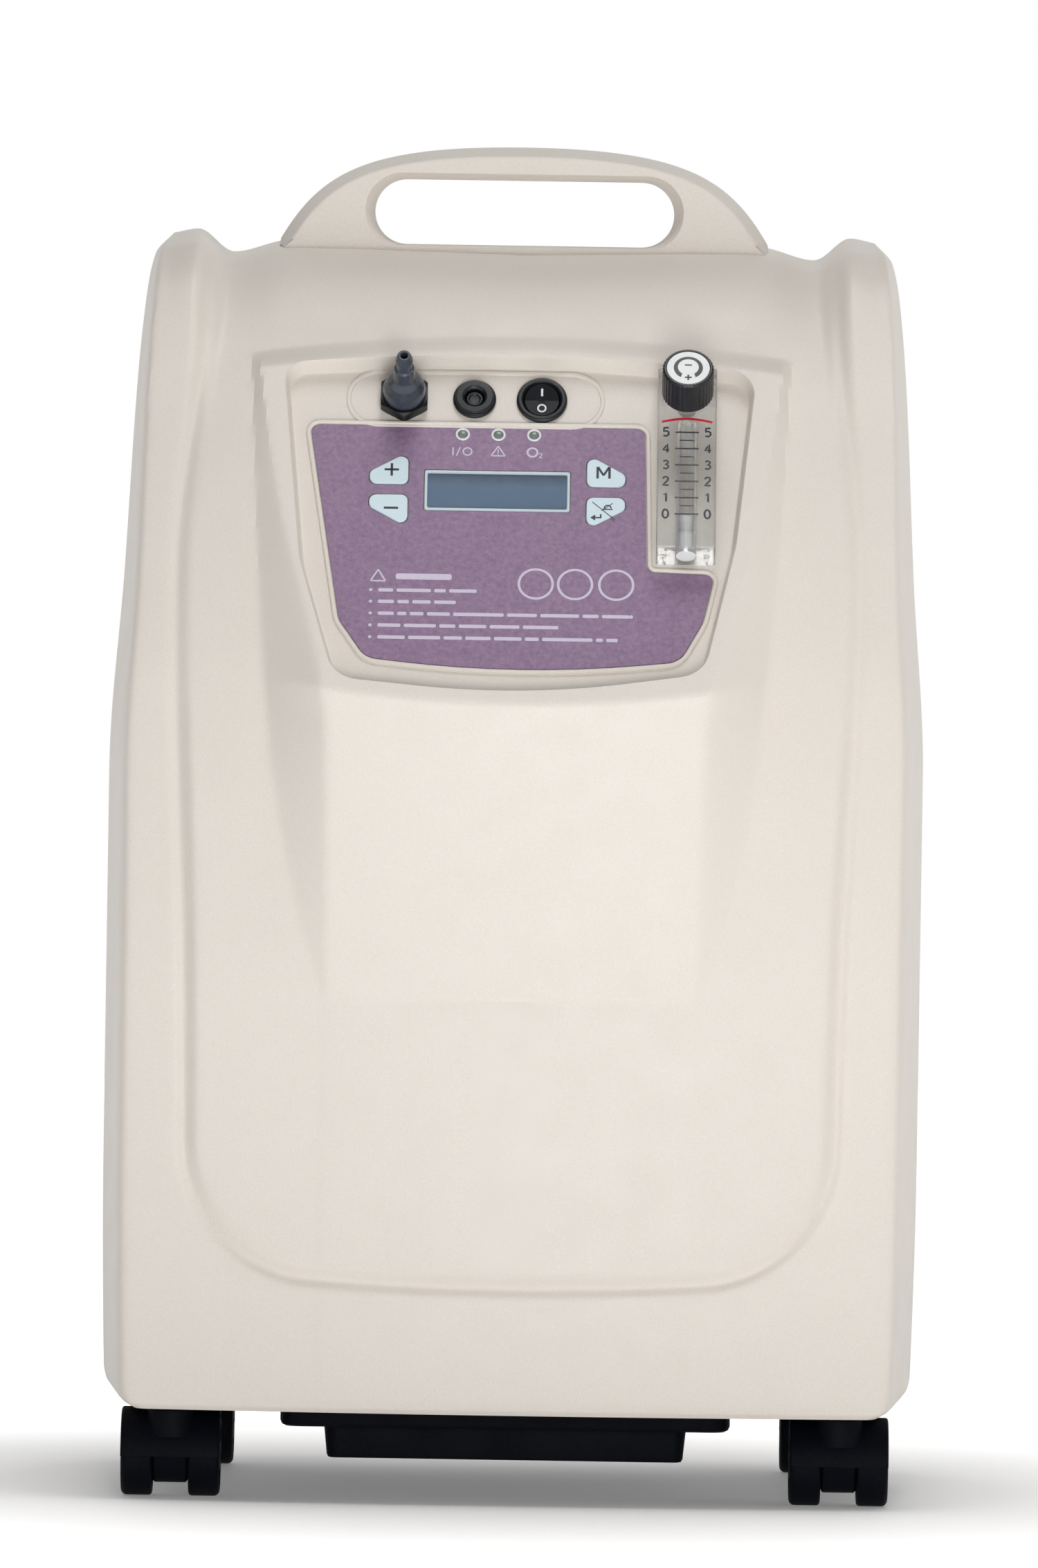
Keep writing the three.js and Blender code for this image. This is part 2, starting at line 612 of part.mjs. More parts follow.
// The box under the tray keeps its distance from the cabinet's sides and from its front.
const EXHAUST_IN = 102;
const EXHAUST_FLANGE_IN = 83.5;
const EXHAUST_BEHIND = 77.5;
const EXHAUST = {
  half: HALF_WIDTH - EXHAUST_IN, flange: HALF_WIDTH - EXHAUST_FLANGE_IN,
  front: EXHAUST_BEHIND - HALF_DEPTH, back: 20, deep: 22.5, wall: 2.5, lip: 8,
};
// The slots' middles and half breadth are shares of the box's half width.
const EXHAUST_SLOT = { places: [-0.56, -0.19, 0.19, 0.56], half: 0.125, low: 4.5, high: 13.5 };
const EXHAUST_MARGIN = 12; // of the flange, before and behind the box
const EXHAUST_BOTTOM = CABINET_BOTTOM - EXHAUST.deep;
const exhaustTop = CABINET_BOTTOM - GAP;
add(
  "base_tray",
  cut(
    join(
      floorPlate(CABINET_BOTTOM, TRAY_TOP),
      ...CORNERS.map(([, sx, sy]) =>
        disc(BOSS_R, TRAY_TOP - 1, TRAY_TOP + BOSS_HIGH).translate(sx * CASTER_X, sy * CASTER_Y, 0),
      ),
    ),
    ...CORNERS.map(([, sx, sy]) =>
      disc(STEM_R + RUN, CABINET_BOTTOM - 1, TRAY_TOP + BOSS_HIGH + 1)
        .translate(sx * CASTER_X, sy * CASTER_Y, 0),
    ),
    box(
      [EXHAUST_MARGIN - EXHAUST.half, EXHAUST.front + EXHAUST_MARGIN, CABINET_BOTTOM - 1],
      [EXHAUST.half - EXHAUST_MARGIN, EXHAUST.back - EXHAUST_MARGIN, TRAY_TOP + 1],
    ),
  ),
  BLACK,
);
const exhaustWall = EXHAUST.wall;
add(
  "exhaust_box",
  cut(
    join(
      box(
        [-EXHAUST.half, EXHAUST.front, EXHAUST_BOTTOM],
        [EXHAUST.half, EXHAUST.back, exhaustTop],
      ),
      box(
        [-EXHAUST.flange, EXHAUST.front - EXHAUST_MARGIN, exhaustTop - EXHAUST.lip],
        [EXHAUST.flange, EXHAUST.back + EXHAUST_MARGIN, exhaustTop],
      ),
    ),
    box(
      [exhaustWall - EXHAUST.half, EXHAUST.front + exhaustWall, EXHAUST_BOTTOM + exhaustWall],
      [EXHAUST.half - exhaustWall, EXHAUST.back - exhaustWall, exhaustTop + 1],
    ),
    ...EXHAUST_SLOT.places.map((place) =>
      box(
        [
          (place - EXHAUST_SLOT.half) * EXHAUST.half, EXHAUST.back - 2 * exhaustWall,
          EXHAUST_BOTTOM + EXHAUST_SLOT.low,
        ],
        [
          (place + EXHAUST_SLOT.half) * EXHAUST.half, EXHAUST.back + 1,
          EXHAUST_BOTTOM + EXHAUST_SLOT.high,
        ],
      ),
    ),
  ),
  BLACK,
);

// -- casters: a hooded fork that swivels in the tray and two wheels on its axle
const HOOD_INNER = WHEEL_R + HOOD_GAP;
const HOOD_OUTER = HOOD_INNER + HOOD_WALL;
const WEB_WIDTH = CASTER_WIDTH - 2 * WHEEL_WIDTH - 2 * RUN;
const WEB_R = 12;
const SOCKET_R = 10; // the hood's round front, which holds the stem
const SOCKET_LOW = 8; // its lower end above the axle
const BRIDGE_LOW = 6; // lower edge above the axle of what ties the hood, web and stem together
const STEM_SHORT = 2; // how far the stem stops short of its boss
const WHEEL_SIDES = 24;

// A cylinder about X between two positions.
const roller = (radius, low, high, sides = 16) =>
  disc(radius, low, high, sides).rotateY(Math.PI / 2);

function casterFork() {
  const arc = new THREE.Shape();
  arc.absarc(0, 0, HOOD_OUTER, 0, Math.PI, false);
  arc.absarc(0, 0, HOOD_INNER, Math.PI, 0, true);
  const hood = new THREE.ExtrudeGeometry(arc, {
    depth: CASTER_WIDTH,
    bevelEnabled: false,
    curveSegments: 5,
  })
    .translate(0, 0, -CASTER_WIDTH / 2)
    .rotateX(Math.PI / 2)
    .rotateZ(Math.PI / 2);
  const halfWeb = WEB_WIDTH / 2;
  const wheelParts = [
    hood,
    roller(WEB_R, -halfWeb, halfWeb, 12),
    roller(AXLE_R, 1 - CASTER_WIDTH / 2, CASTER_WIDTH / 2 - 1, 8),
    box([-halfWeb, -HOOD_INNER - 0.5, 0], [halfWeb, HOOD_INNER + 0.5, BRIDGE_LOW]),
    box([-halfWeb, -WEB_R, 0], [halfWeb, WEB_R, HOOD_INNER + 0.5]),
  ].map((part) => part.translate(0, CASTER_TRAIL, WHEEL_R));
  return join(
    ...wheelParts,
    disc(STEM_R, WHEEL_R + BRIDGE_LOW, TRAY_TOP + BOSS_HIGH - STEM_SHORT),
    box(
      [-halfWeb, -STEM_R - 1, WHEEL_R + BRIDGE_LOW],
      [halfWeb, CASTER_TRAIL, CABINET_BOTTOM - HOOD_CLEAR - HOOD_WALL],
    ),
    cut(
      disc(SOCKET_R, WHEEL_R + SOCKET_LOW, CABINET_BOTTOM - HOOD_CLEAR, 12),
      roller(HOOD_INNER + 0.5, -CASTER_WIDTH, CASTER_WIDTH).translate(0, CASTER_TRAIL, WHEEL_R),
    ),
  );
}

function casterWheel(side) {
  const outer = WHEEL_R / Math.cos(Math.PI / WHEEL_SIDES);
  const inside = WEB_WIDTH / 2 + RUN;
  const wheel = ring(
    [
      [AXLE_R + RUN, inside], [outer, inside], [outer, inside + WHEEL_WIDTH - 2],
      [outer - 2, inside + WHEEL_WIDTH], [AXLE_R + RUN, inside + WHEEL_WIDTH],
    ],
    WHEEL_SIDES,
  );
  return wheel
    .rotateZ(Math.PI / WHEEL_SIDES)
    .rotateY((side * Math.PI) / 2)
    .translate(0, CASTER_TRAIL, WHEEL_R);
}

for (const [place, sx, sy] of CORNERS) {
  const caster = new THREE.Group();
  caster.position.set(sx * CASTER_X, sy * CASTER_Y, 0);
  device.add(caster);
  add(`caster_fork_${place}`, casterFork(), BLACK, caster);
  add(`caster_wheel_${place}_outer`, casterWheel(sx), BLACK, caster);
  add(`caster_wheel_${place}_inner`, casterWheel(-sx), BLACK, caster);
}

// -- the console's fittings, in the console's own frame
const panel = new THREE.Group();
panel.rotation.x = -PANEL_TILT;
panel.position.set(0, -HALF_DEPTH, LIP_Z);
device.add(panel);
const LABEL_BACK = FLOOR - GAP;
const LABEL_FRONT = LABEL_BACK - LABEL_THICK;

// A turned piece whose axis stands out of the recess floor; its levels count from the floor.
const standing = (geometry, x, level) =>
  geometry.rotateX(Math.PI / 2).translate(x, FLOOR, level);

const labelShape = rounded(LABEL);
labelShape.holes.push(
  rectangle(DISPLAY.width + 2 * GAP, DISPLAY.height + 2 * GAP, 1, DISPLAY.x, DISPLAY.level),
  ...LED_X.map((x) => circle(LED_R + GAP, x, LED_LEVEL)),
  ...KEYS.map((key) => keyShape(key, RUN)),
);
add("control_label", slab(labelShape, LABEL_FRONT, LABEL_BACK), LILAC, panel);
add(
  "display_window",
  slab(
    rectangle(DISPLAY.width, DISPLAY.height, 1, DISPLAY.x, DISPLAY.level),
    LABEL_FRONT,
    FLOOR + DISPLAY.thick - GAP,
  ),
  LCD_GREY,
  panel,
);
["power", "alarm", "oxygen"].forEach((name, i) =>
  add(
    `indicator_${name}`,
    slab(circle(LED_R, LED_X[i], LED_LEVEL), LABEL_FRONT, FLOOR + 10, 8),
    LED_GREEN,
    panel,
  ),
);
for (const key of KEYS) {
  const front = LABEL_FRONT - KEY_PROUD;
  add(key.name, slab(keyShape(key, 0), front, front + KEY_THICK), PALE, panel);
}

const nutTop = GAP + NUT_THICK;
const nut = cut(
  disc(NUT_FLATS / Math.sqrt(3), GAP, nutTop, 6),
  disc(NOZZLE_STEM_R + GAP, -1, nutTop + 1),
);
add("outlet_nut", standing(nut, NOZZLE_X, FITTING_LEVEL), BLACK, panel);
const NOZZLE_BORE_R = 1.6;
const nozzleFoot = nutTop + GAP;
const NOZZLE_TIP = 37; // above the recess floor
const nozzle = ring([
  [NOZZLE_BORE_R, -SHANK_LONG], [NOZZLE_STEM_R, -SHANK_LONG], [NOZZLE_STEM_R, nozzleFoot],
  [9, nozzleFoot], [9, nozzleFoot + 2], [6.6, 15], [4.4, 18.5], [3.9, 27], [3.1, 27.6],
  [3.1, NOZZLE_TIP - 4], [3.5, NOZZLE_TIP - 3.4], [2.9, NOZZLE_TIP], [NOZZLE_BORE_R, NOZZLE_TIP],
]);
add("outlet_nozzle", standing(nozzle, NOZZLE_X, FITTING_LEVEL), SLATE, panel);

// A round fitting with a rim on the floor, a barrel behind it and an open well.
function fitting({ rim, proud, barrel, well, depth }) {
  return turned([
    [0, -depth], [barrel, -depth], [barrel, GAP], [rim, GAP], [rim, proud - 1], [rim - 1, proud],
    [well, proud], [well, 4 - depth], [0, 4 - depth],
  ]);
}

add("breaker_bezel", standing(fitting(BREAKER), BREAKER_X, FITTING_LEVEL), BLACK, panel);
const buttonR = BREAKER.well - RUN;
const button = turned([
  [0, 5 - BREAKER.depth], [buttonR, 5 - BREAKER.depth], [buttonR, 0.6], [buttonR - 1, 1.4],
  [0, 1.4],
]);
add("breaker_button", standing(button, BREAKER_X, FITTING_LEVEL), BLACK, panel);
add("switch_bezel", standing(fitting(SWITCH), SWITCH_X, FITTING_LEVEL), BLACK, panel);
const rocker = turned([
  [0, -ROCKER_HALF], [ROCKER_R - 1.5, -ROCKER_HALF], [ROCKER_R, 0.8 - ROCKER_HALF],
  [ROCKER_R, ROCKER_HALF - 0.8], [ROCKER_R - 1, ROCKER_HALF], [0, ROCKER_HALF],
]);
const rockerPivot = new THREE.Group();
rockerPivot.position.set(SWITCH_X, FLOOR, FITTING_LEVEL);
rockerPivot.rotation.x = ROCKER_THROW / 2;
panel.add(rockerPivot);
add("switch_rocker", rocker.rotateX(Math.PI / 2), BLACK, rockerPivot);

// -- flowmeter
const meterBack = FLOOR - GAP;
const meterFront = meterBack - METER.proud;
const meterAxisY = (meterBack + meterFront) / 2;
const meter = new THREE.Group();
meter.position.set(METER_X, meterAxisY, METER.bottom);
panel.add(meter);
const meterHigh = METER.top - METER.bottom;
const valve = new THREE.Group();
valve.position.set(METER_X, meterFront, KNOB_LEVEL);
valve.rotation.x = -KNOB_TILT;
panel.add(valve);
valve.updateMatrix();
const valveHole = disc(KNOB_STEM_R + RUN, -KNOB_STEM_LONG - 1, 5)
  .rotateX(Math.PI / 2)
  .applyMatrix4(valve.matrix)
  .translate(-METER_X, -meterAxisY, -METER.bottom);
add(
  "flowmeter_body",
  cut(
    join(
      box(
        [-METER.width / 2, -METER.proud / 2, 0],
        [METER.width / 2, METER.proud / 2, meterHigh],
      ),
      ...METER_SPIGOTS.map((level) =>
        slab(circle(METER_SPIGOT_R, 0, level - METER.bottom), METER.proud / 2 - 1, 28, 8),
      ),
    ),
    disc(METER_BORE_R, -1, METER_BORE_TOP - METER.bottom, 16),
    valveHole,
  ),
  ACRYLIC,
  meter,
);
add("flowmeter_plug", disc(METER_BORE_R - GAP, 0, METER_PLUG, 16), BLACK, meter);
const floatBody = turned([
  [0, 0], [2, 0], [2.6, 2], [2.6, FLOAT_LONG - 3], [FLOAT_R, FLOAT_LONG - 1.5],
  [FLOAT_R, FLOAT_LONG], [0, FLOAT_LONG],
], 16);
add("flowmeter_float", floatBody.translate(0, 0, METER_PLUG + GAP), STEEL, meter);
const knobFoot = RUN + KNOB_R * Math.sin(KNOB_TILT);
const knob = turned([
  [0, -KNOB_STEM_LONG], [KNOB_STEM_R, -KNOB_STEM_LONG], [KNOB_STEM_R, knobFoot],
  [KNOB_R - 0.5, knobFoot], [KNOB_R, knobFoot + 1], [KNOB_R, knobFoot + KNOB_LONG - 1],
  [KNOB_R - 1, knobFoot + KNOB_LONG], [0, knobFoot + KNOB_LONG],
], 24);
add("flowmeter_knob", knob.rotateX(Math.PI / 2), BLACK, valve);

// -- power inlet
const flangeBack = BACK + GAP;
const cavityFloor = HALF_DEPTH - INLET_CAVITY.depth;
const centred = (width, height, low, high, x = 0, z = 0) =>
  box([x - width / 2, low, z - height / 2], [x + width / 2, high, z + height / 2]);
const inletPin = (x, z) =>
  centred(INLET_PIN.width, INLET_PIN.height, cavityFloor - 1, cavityFloor + INLET_PIN.length, x, z);
const inlet = join(
  cut(
    join(
      centred(INLET.width, INLET.height, BACK - INLET.depth, flangeBack + 1),
      centred(
        INLET.width + 2 * INLET.flange, INLET.height + 2 * INLET.flange, flangeBack, HALF_DEPTH,
      ),
    ),
    centred(INLET_CAVITY.width, INLET_CAVITY.height, cavityFloor, HALF_DEPTH + 1),
  ),
  inletPin(-INLET_PIN.spacing, -INLET_PIN.drop),
  inletPin(INLET_PIN.spacing, -INLET_PIN.drop),
  inletPin(0, INLET_PIN.drop),
);
add("power_inlet", inlet.translate(INLET.x, 0, INLET.z), BLACK);

// -- air filter in the back wall
const intake = new THREE.Group();
intake.position.set(0, BACK, FILTER.z);
device.add(intake);
const panWidth = FILTER.width - 2 * GAP;
const panHeight = FILTER.height - 2 * GAP;
const innerWidth = panWidth - 2 * FILTER.wall;
const innerHeight = panHeight - 2 * FILTER.wall;
const louvreWidth = innerWidth - LOUVRE_MARGIN;
const louvreHeight = innerHeight - LOUVRE_MARGIN;
add(
  "filter_frame",
  cut(
    slab(rectangle(panWidth, panHeight, 6), -FILTER.deep, 0),
    slab(rectangle(innerWidth, innerHeight, 4), FILTER.wall - FILTER.deep, 1),
    ...louvres(louvreWidth, louvreHeight, 0, -FILTER.deep - 1, 0),
  ),
  CREAM,
  intake,
);
const foamBack = FILTER.wall - FILTER.deep + GAP;
add(
  "filter_foam",
  slab(rectangle(innerWidth - 2 * RUN, innerHeight - 2 * RUN, 4), foamBack, foamBack + FOAM_THICK),
  FOAM,
  intake,
);
const coverTop = innerHeight / 2 - RUN;
add(
  "filter_cover",
  cut(
    slab(rectangle(innerWidth - 2 * RUN, 2 * coverTop, 4), -FILTER_COVER_THICK, 0),
    ...louvres(louvreWidth, louvreHeight, -4, -FILTER_COVER_THICK - 1, 1),
    centred(
      FINGER_NOTCH.width, FINGER_NOTCH.height, -FILTER_COVER_THICK - 1, 1, 0,
      coverTop - FINGER_NOTCH.height / 2 + 1,
    ),
  ),
  CREAM,
  intake,
);

// -- compressor on its rubber mounts
const PLATE = { halfX: 100, front: -40, back: 110, low: 64, thick: 2 };
const plateTop = PLATE.low + PLATE.thick;
const MOUNT_R = 9;
const MOUNT_INSET = 14;
add(
  "mount_plate",
  box([-PLATE.halfX, PLATE.front, PLATE.low], [PLATE.halfX, PLATE.back, plateTop]),
  STEEL,
);
for (const [place, sx, sy] of CORNERS) {
  const y = sy < 0 ? PLATE.front + MOUNT_INSET : PLATE.back - MOUNT_INSET;
  add(
    `rubber_mount_${place}`,
    turned(
      [
        [0, TRAY_TOP + GAP], [MOUNT_R, TRAY_TOP + GAP], [MOUNT_R - 2.5, (TRAY_TOP + PLATE.low) / 2],
        [MOUNT_R, PLATE.low - GAP], [0, PLATE.low - GAP],
      ],
      16,
    ).translate(sx * (PLATE.halfX - MOUNT_INSET), y, 0),
    RUBBER,
  );
}
const FIN_GAP = { first: 7, pitch: 9, half: 1.5, deep: 10 }; // the gaps between the heads' fins
const COMPRESSOR = { y: 35, z: 112, r: 42, half: 55, foot: 30, head: 32, headHalf: 32 };
const compressor = new THREE.Group();
compressor.position.set(0, COMPRESSOR.y, COMPRESSOR.z);
device.add(compressor);
add(
  "compressor_motor",
  join(
    roller(COMPRESSOR.r, -COMPRESSOR.half, COMPRESSOR.half, 20),
    box(
      [-COMPRESSOR.half + 8, -COMPRESSOR.foot, plateTop + GAP - COMPRESSOR.z],
      [COMPRESSOR.half - 8, COMPRESSOR.foot, 0],
    ),
  ),
  ALUMINIUM,
  compressor,
);
for (const [side, sx] of [["left", -1], ["right", 1]]) {
  const near = COMPRESSOR.half + GAP;
  const far = near + COMPRESSOR.head;
  const half = COMPRESSOR.headHalf;
  const low = Math.min(sx * near, sx * far);
  const fins = [0, 1, 2].map((i) => {
    const x = sx * (near + FIN_GAP.first + FIN_GAP.pitch * i);
    return box(
      [x - FIN_GAP.half, -half - 1, half - FIN_GAP.deep], [x + FIN_GAP.half, half + 1, half + 1],
    );
  });
  add(
    `compressor_head_${side}`,
    cut(box([low, -half, -half], [low + COMPRESSOR.head, half, half]), ...fins),
    ALUMINIUM,
    compressor,
  );
}
const SILENCER = { x: 64.5 - HALF_WIDTH, y: 117.5 - HALF_DEPTH, r: 24, high: 120 };
add(
  "intake_silencer",
  disc(SILENCER.r, TRAY_TOP + GAP, TRAY_TOP + SILENCER.high)
    .translate(SILENCER.x, SILENCER.y, 0),
  BLACK,
);

// -- shelf, cooling fan, sieve beds, tank and valves above the compressor
const SHELF_Z = 196;
const SHELF_THICK = 3;
const shelfTop = SHELF_Z + SHELF_THICK + GAP;
const FAN = { y: -55, half: 60, bore: 56, high: 25, hub: 17, strut: 4, blades: 7 };
add(
  "internal_shelf",
  cut(
    floorPlate(SHELF_Z, SHELF_Z + SHELF_THICK),
    disc(FAN.bore, SHELF_Z - 1, shelfTop).translate(0, FAN.y, 0),
  ),
  STEEL,
);
const fan = new THREE.Group();
fan.position.set(0, FAN.y, shelfTop);
device.add(fan);
const FAN_BASE = 4;
add(
  "fan_frame",
  join(
    cut(
      box([-FAN.half, -FAN.half, 0], [FAN.half, FAN.half, FAN.high]),
      disc(FAN.bore, -1, FAN.high + 1, 32),
    ),
    disc(FAN.hub, 0, FAN_BASE),
    box([-FAN.bore - 2, -FAN.strut / 2, 0], [FAN.bore + 2, FAN.strut / 2, FAN_BASE]),
    box([-FAN.strut / 2, -FAN.bore - 2, 0], [FAN.strut / 2, FAN.bore + 2, FAN_BASE]),
  ),
  BLACK,
  fan,
);
const bladeReach = FAN.bore - 2;
const blades = Array.from({ length: FAN.blades }, (_, i) =>
  box([0, -9, -1], [bladeReach, 9, 1])
    .rotateX(degToRad(35))
    .translate(0, 0, FAN_BASE + 11)
    .rotateZ((2 * Math.PI * i) / FAN.blades),
);
add(
  "fan_rotor",
  join(disc(FAN.hub, FAN_BASE + 1, FAN.high - 2), ...blades),
  BLACK,
  fan,
);

// The beds and the tank stand on the shelf, in front of the back wall, and follow the roof.
const BED_BELOW_ROOF = 121;
const TANK_BELOW_ROOF = 171;
const BED = { x: 78, y: HALF_DEPTH - 95.5, r: 30, high: ROOF_Z - BED_BELOW_ROOF - shelfTop };
for (const [side, sx] of [["left", -1], ["right", 1]])
  add(
    `sieve_bed_${side}`,
    disc(BED.r, shelfTop, shelfTop + BED.high).translate(sx * BED.x, BED.y, 0),
    ALUMINIUM,
  );
const TANK = {
  y: HALF_DEPTH - 91.5, r: 36, high: ROOF_Z - TANK_BELOW_ROOF - shelfTop, crown: 10,
};
const tankTop = shelfTop + TANK.high;
add(
  "oxygen_tank",
  turned([
    [0, shelfTop], [TANK.r, shelfTop], [TANK.r, tankTop - TANK.crown],
    [TANK.r - TANK.crown, tankTop], [0, tankTop],
  ]).translate(0, TANK.y, 0),
  ALUMINIUM,
);
const valveBottom = shelfTop + BED.high + GAP;
const VALVE = { halfX: 100, halfY: 18, high: 26 };
add(
  "valve_block",
  box(
    [-VALVE.halfX, BED.y - VALVE.halfY, valveBottom],
    [VALVE.halfX, BED.y + VALVE.halfY, valveBottom + VALVE.high],
  ),
  ALUMINIUM,
);

// A round tube along a smooth curve through points.
function tube(points, radius, steps, sides = 8) {
  const section = new THREE.Shape();
  for (let i = 0; i < sides; i++) {
    const turn = (2 * Math.PI * i) / sides;
    const [x, y] = [radius * Math.cos(turn), radius * Math.sin(turn)];
    if (i) section.lineTo(x, y);
    else section.moveTo(x, y);
  }
  return new THREE.ExtrudeGeometry(section, {
    steps,
    bevelEnabled: false,
    extrudePath: new THREE.CatmullRomCurve3(points),
  });
}

const COIL = { r: 44, tube: 4, clear: 1, turns: 2, pitch: 12, perTurn: 8, steps: 36, sides: 6 };
const coilPoints = Array.from({ length: COIL.turns * COIL.perTurn + 1 }, (_, i) => {
  const turn = (2 * Math.PI * i) / COIL.perTurn;
  const rise = (COIL.pitch * i) / COIL.perTurn;
  return new THREE.Vector3(COIL.r * Math.cos(turn), COIL.r * Math.sin(turn), rise);
});
add(
  "cooling_coil",
  tube(coilPoints, COIL.tube, COIL.steps, COIL.sides)
    .translate(0, FAN.y, shelfTop + FAN.high + COIL.tube + COIL.clear),
  COPPER,
);

// -- electronics and the outlet line, behind the console
const BOARD_BOX = { y: 42, thick: 1.6, left: -92, right: 62, low: 22, high: 134 };
add(
  "circuit_board",
  box(
    [BOARD_BOX.left, BOARD_BOX.y, BOARD_BOX.low],
    [BOARD_BOX.right, BOARD_BOX.y + BOARD_BOX.thick, BOARD_BOX.high],
  ),
  BOARD,
  panel,
);
const PURIFIER = { r: 17, long: 22 };
const purifierFront = FLOOR + SHANK_LONG + GAP;
const purifier = turned([
  [0, -PURIFIER.long], [4, -PURIFIER.long], [PURIFIER.r, 5 - PURIFIER.long], [PURIFIER.r, -4],
  [5, 0], [0, 0],
]);
add(
  "bacteria_filter",
  purifier.rotateX(Math.PI / 2).translate(NOZZLE_X, purifierFront, FITTING_LEVEL),
  WHITE,
  panel,
);
const HOSE_R = 4;
const hoseStart = new THREE.Vector3(
  NOZZLE_X, purifierFront + PURIFIER.long + GAP, FITTING_LEVEL,
).applyMatrix4(toConsole);
const outwards = new THREE.Vector3(0, Math.cos(PANEL_TILT), -Math.sin(PANEL_TILT));
add(
  "outlet_hose",
  tube(
    [
      hoseStart,
      hoseStart.clone().addScaledVector(outwards, 18),
      new THREE.Vector3(-28, TANK.y - 62, tankTop + 38),
      new THREE.Vector3(-6, TANK.y - 14, tankTop + 34),
      new THREE.Vector3(0, TANK.y, tankTop + 14),
      new THREE.Vector3(0, TANK.y, tankTop + GAP),
    ],
    HOSE_R,
    16,
    6,
  ),
  WHITE,
);

export default device;
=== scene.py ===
import json
import math

import bmesh
import bpy
import numpy as np
from mathutils import Matrix, Vector


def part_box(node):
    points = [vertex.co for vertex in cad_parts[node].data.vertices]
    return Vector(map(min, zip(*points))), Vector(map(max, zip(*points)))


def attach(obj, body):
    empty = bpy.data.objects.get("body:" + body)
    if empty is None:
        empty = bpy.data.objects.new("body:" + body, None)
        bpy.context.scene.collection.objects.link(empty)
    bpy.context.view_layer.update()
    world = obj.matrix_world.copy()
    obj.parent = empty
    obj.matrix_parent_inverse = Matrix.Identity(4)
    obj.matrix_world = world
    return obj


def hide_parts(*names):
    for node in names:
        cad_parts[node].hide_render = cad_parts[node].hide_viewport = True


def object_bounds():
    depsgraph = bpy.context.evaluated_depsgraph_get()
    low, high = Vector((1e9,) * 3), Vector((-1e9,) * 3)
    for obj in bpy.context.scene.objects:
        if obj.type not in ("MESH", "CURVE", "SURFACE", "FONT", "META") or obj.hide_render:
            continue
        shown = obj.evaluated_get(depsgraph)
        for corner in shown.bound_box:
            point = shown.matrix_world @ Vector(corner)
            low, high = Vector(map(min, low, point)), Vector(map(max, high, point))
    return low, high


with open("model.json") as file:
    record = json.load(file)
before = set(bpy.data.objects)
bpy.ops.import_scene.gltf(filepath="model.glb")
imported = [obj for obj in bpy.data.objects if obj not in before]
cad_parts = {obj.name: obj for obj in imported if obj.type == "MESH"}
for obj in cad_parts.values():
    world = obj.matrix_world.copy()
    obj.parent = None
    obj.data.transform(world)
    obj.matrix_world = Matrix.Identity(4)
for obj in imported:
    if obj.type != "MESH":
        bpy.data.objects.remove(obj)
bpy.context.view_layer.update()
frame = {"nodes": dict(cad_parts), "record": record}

SCENE = bpy.context.scene
MM = 0.001  # every shape below is worked out in millimetres

# ------------------------------------------------------------------ sizes of the cabinet
HALF_WIDTH, HALF_DEPTH, HEIGHT = np.array(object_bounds()[1]) / MM
CABINET_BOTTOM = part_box("front_shell")[0].z / MM
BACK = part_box("rear_shell")[1].y / MM
ROOF_Z = 555.0
WALL = 3.0
GAP = 0.3
FRONT, REAR = -1, 1

# Profiles as (height, depth or half width) stations.
FRAME_PROFILE = [
    (CABINET_BOTTOM, 161), (42.5, 163.9), (47, 165.1), (100, 168), (224, 167), (355, 154),
    (410, 139.5), (450, 126), (480, 114), (505, 105), (530, 89), (546, 60), (ROOF_Z, 0),
]
INNER_PROFILE = [
    (CABINET_BOTTOM, 164), (42.5, 166.9), (47, 168.1), (100, 171), (224, 171), (300, 166),
    (355, 157), (400, 145.5), (450, 127.3), (480, 110.8), (505, 95.5), (512, 90.5), (535, 67),
    (548, 38), (ROOF_Z, 0),
]
REAR_PROFILE = [
    (CABINET_BOTTOM, BACK - 5.5), (43, BACK - 2.2), (48, BACK - 1), (70, BACK), (440, BACK),
    (480, BACK - 5.5), (515, 150), (540, 92), (ROOF_Z, 0),
]
SIDE_PROFILE = [
    (CABINET_BOTTOM, HALF_WIDTH - 9.5), (42.5, HALF_WIDTH - 5.2), (46, HALF_WIDTH - 2.8),
    (52, HALF_WIDTH - 1.6), (150, HALF_WIDTH), (320, HALF_WIDTH), (408, HALF_WIDTH - 5.5),
    (498, HALF_WIDTH - 10.4), (530, HALF_WIDTH - 13.7), (546, HALF_WIDTH - 17.3),
    (ROOF_Z, HALF_WIDTH - 25.5),
]
ROOF_LINE = [(0, 0), (105, 2), (130, -3.5), (146, 6.5), (157, 4.5)]  # (distance from middle, rise)
FRONT_BOW = 16.0
REAR_FLAT = 150.0
REAR_CURL = 0.01
SIDE_DRAFT = 14.0
CORNER_POWER = 12.0
ROOF_BLEND = 55.0
BOTTOM_BLEND = 20.0

# The U line of the front: its half width and half breadth at a height, and its round bottom.
GROOVE_HALF = [(100, 139), (230, 141), (408, 148), (500, 140), (ROOF_Z, 137)]
GROOVE_BREADTH = [(100, 3.2), (170, 3.0), (408, 4.6), (540, 5.6)]
GROOVE_BOTTOM = 102.0
GROOVE_SAG = 4.0
GROOVE_CORNER = 52.0
GROOVE_ROUND = 0.22
CHANNEL_DEEP, CHANNEL_OFF, CHANNEL_BROAD = 2.2, 1.5, 3.2

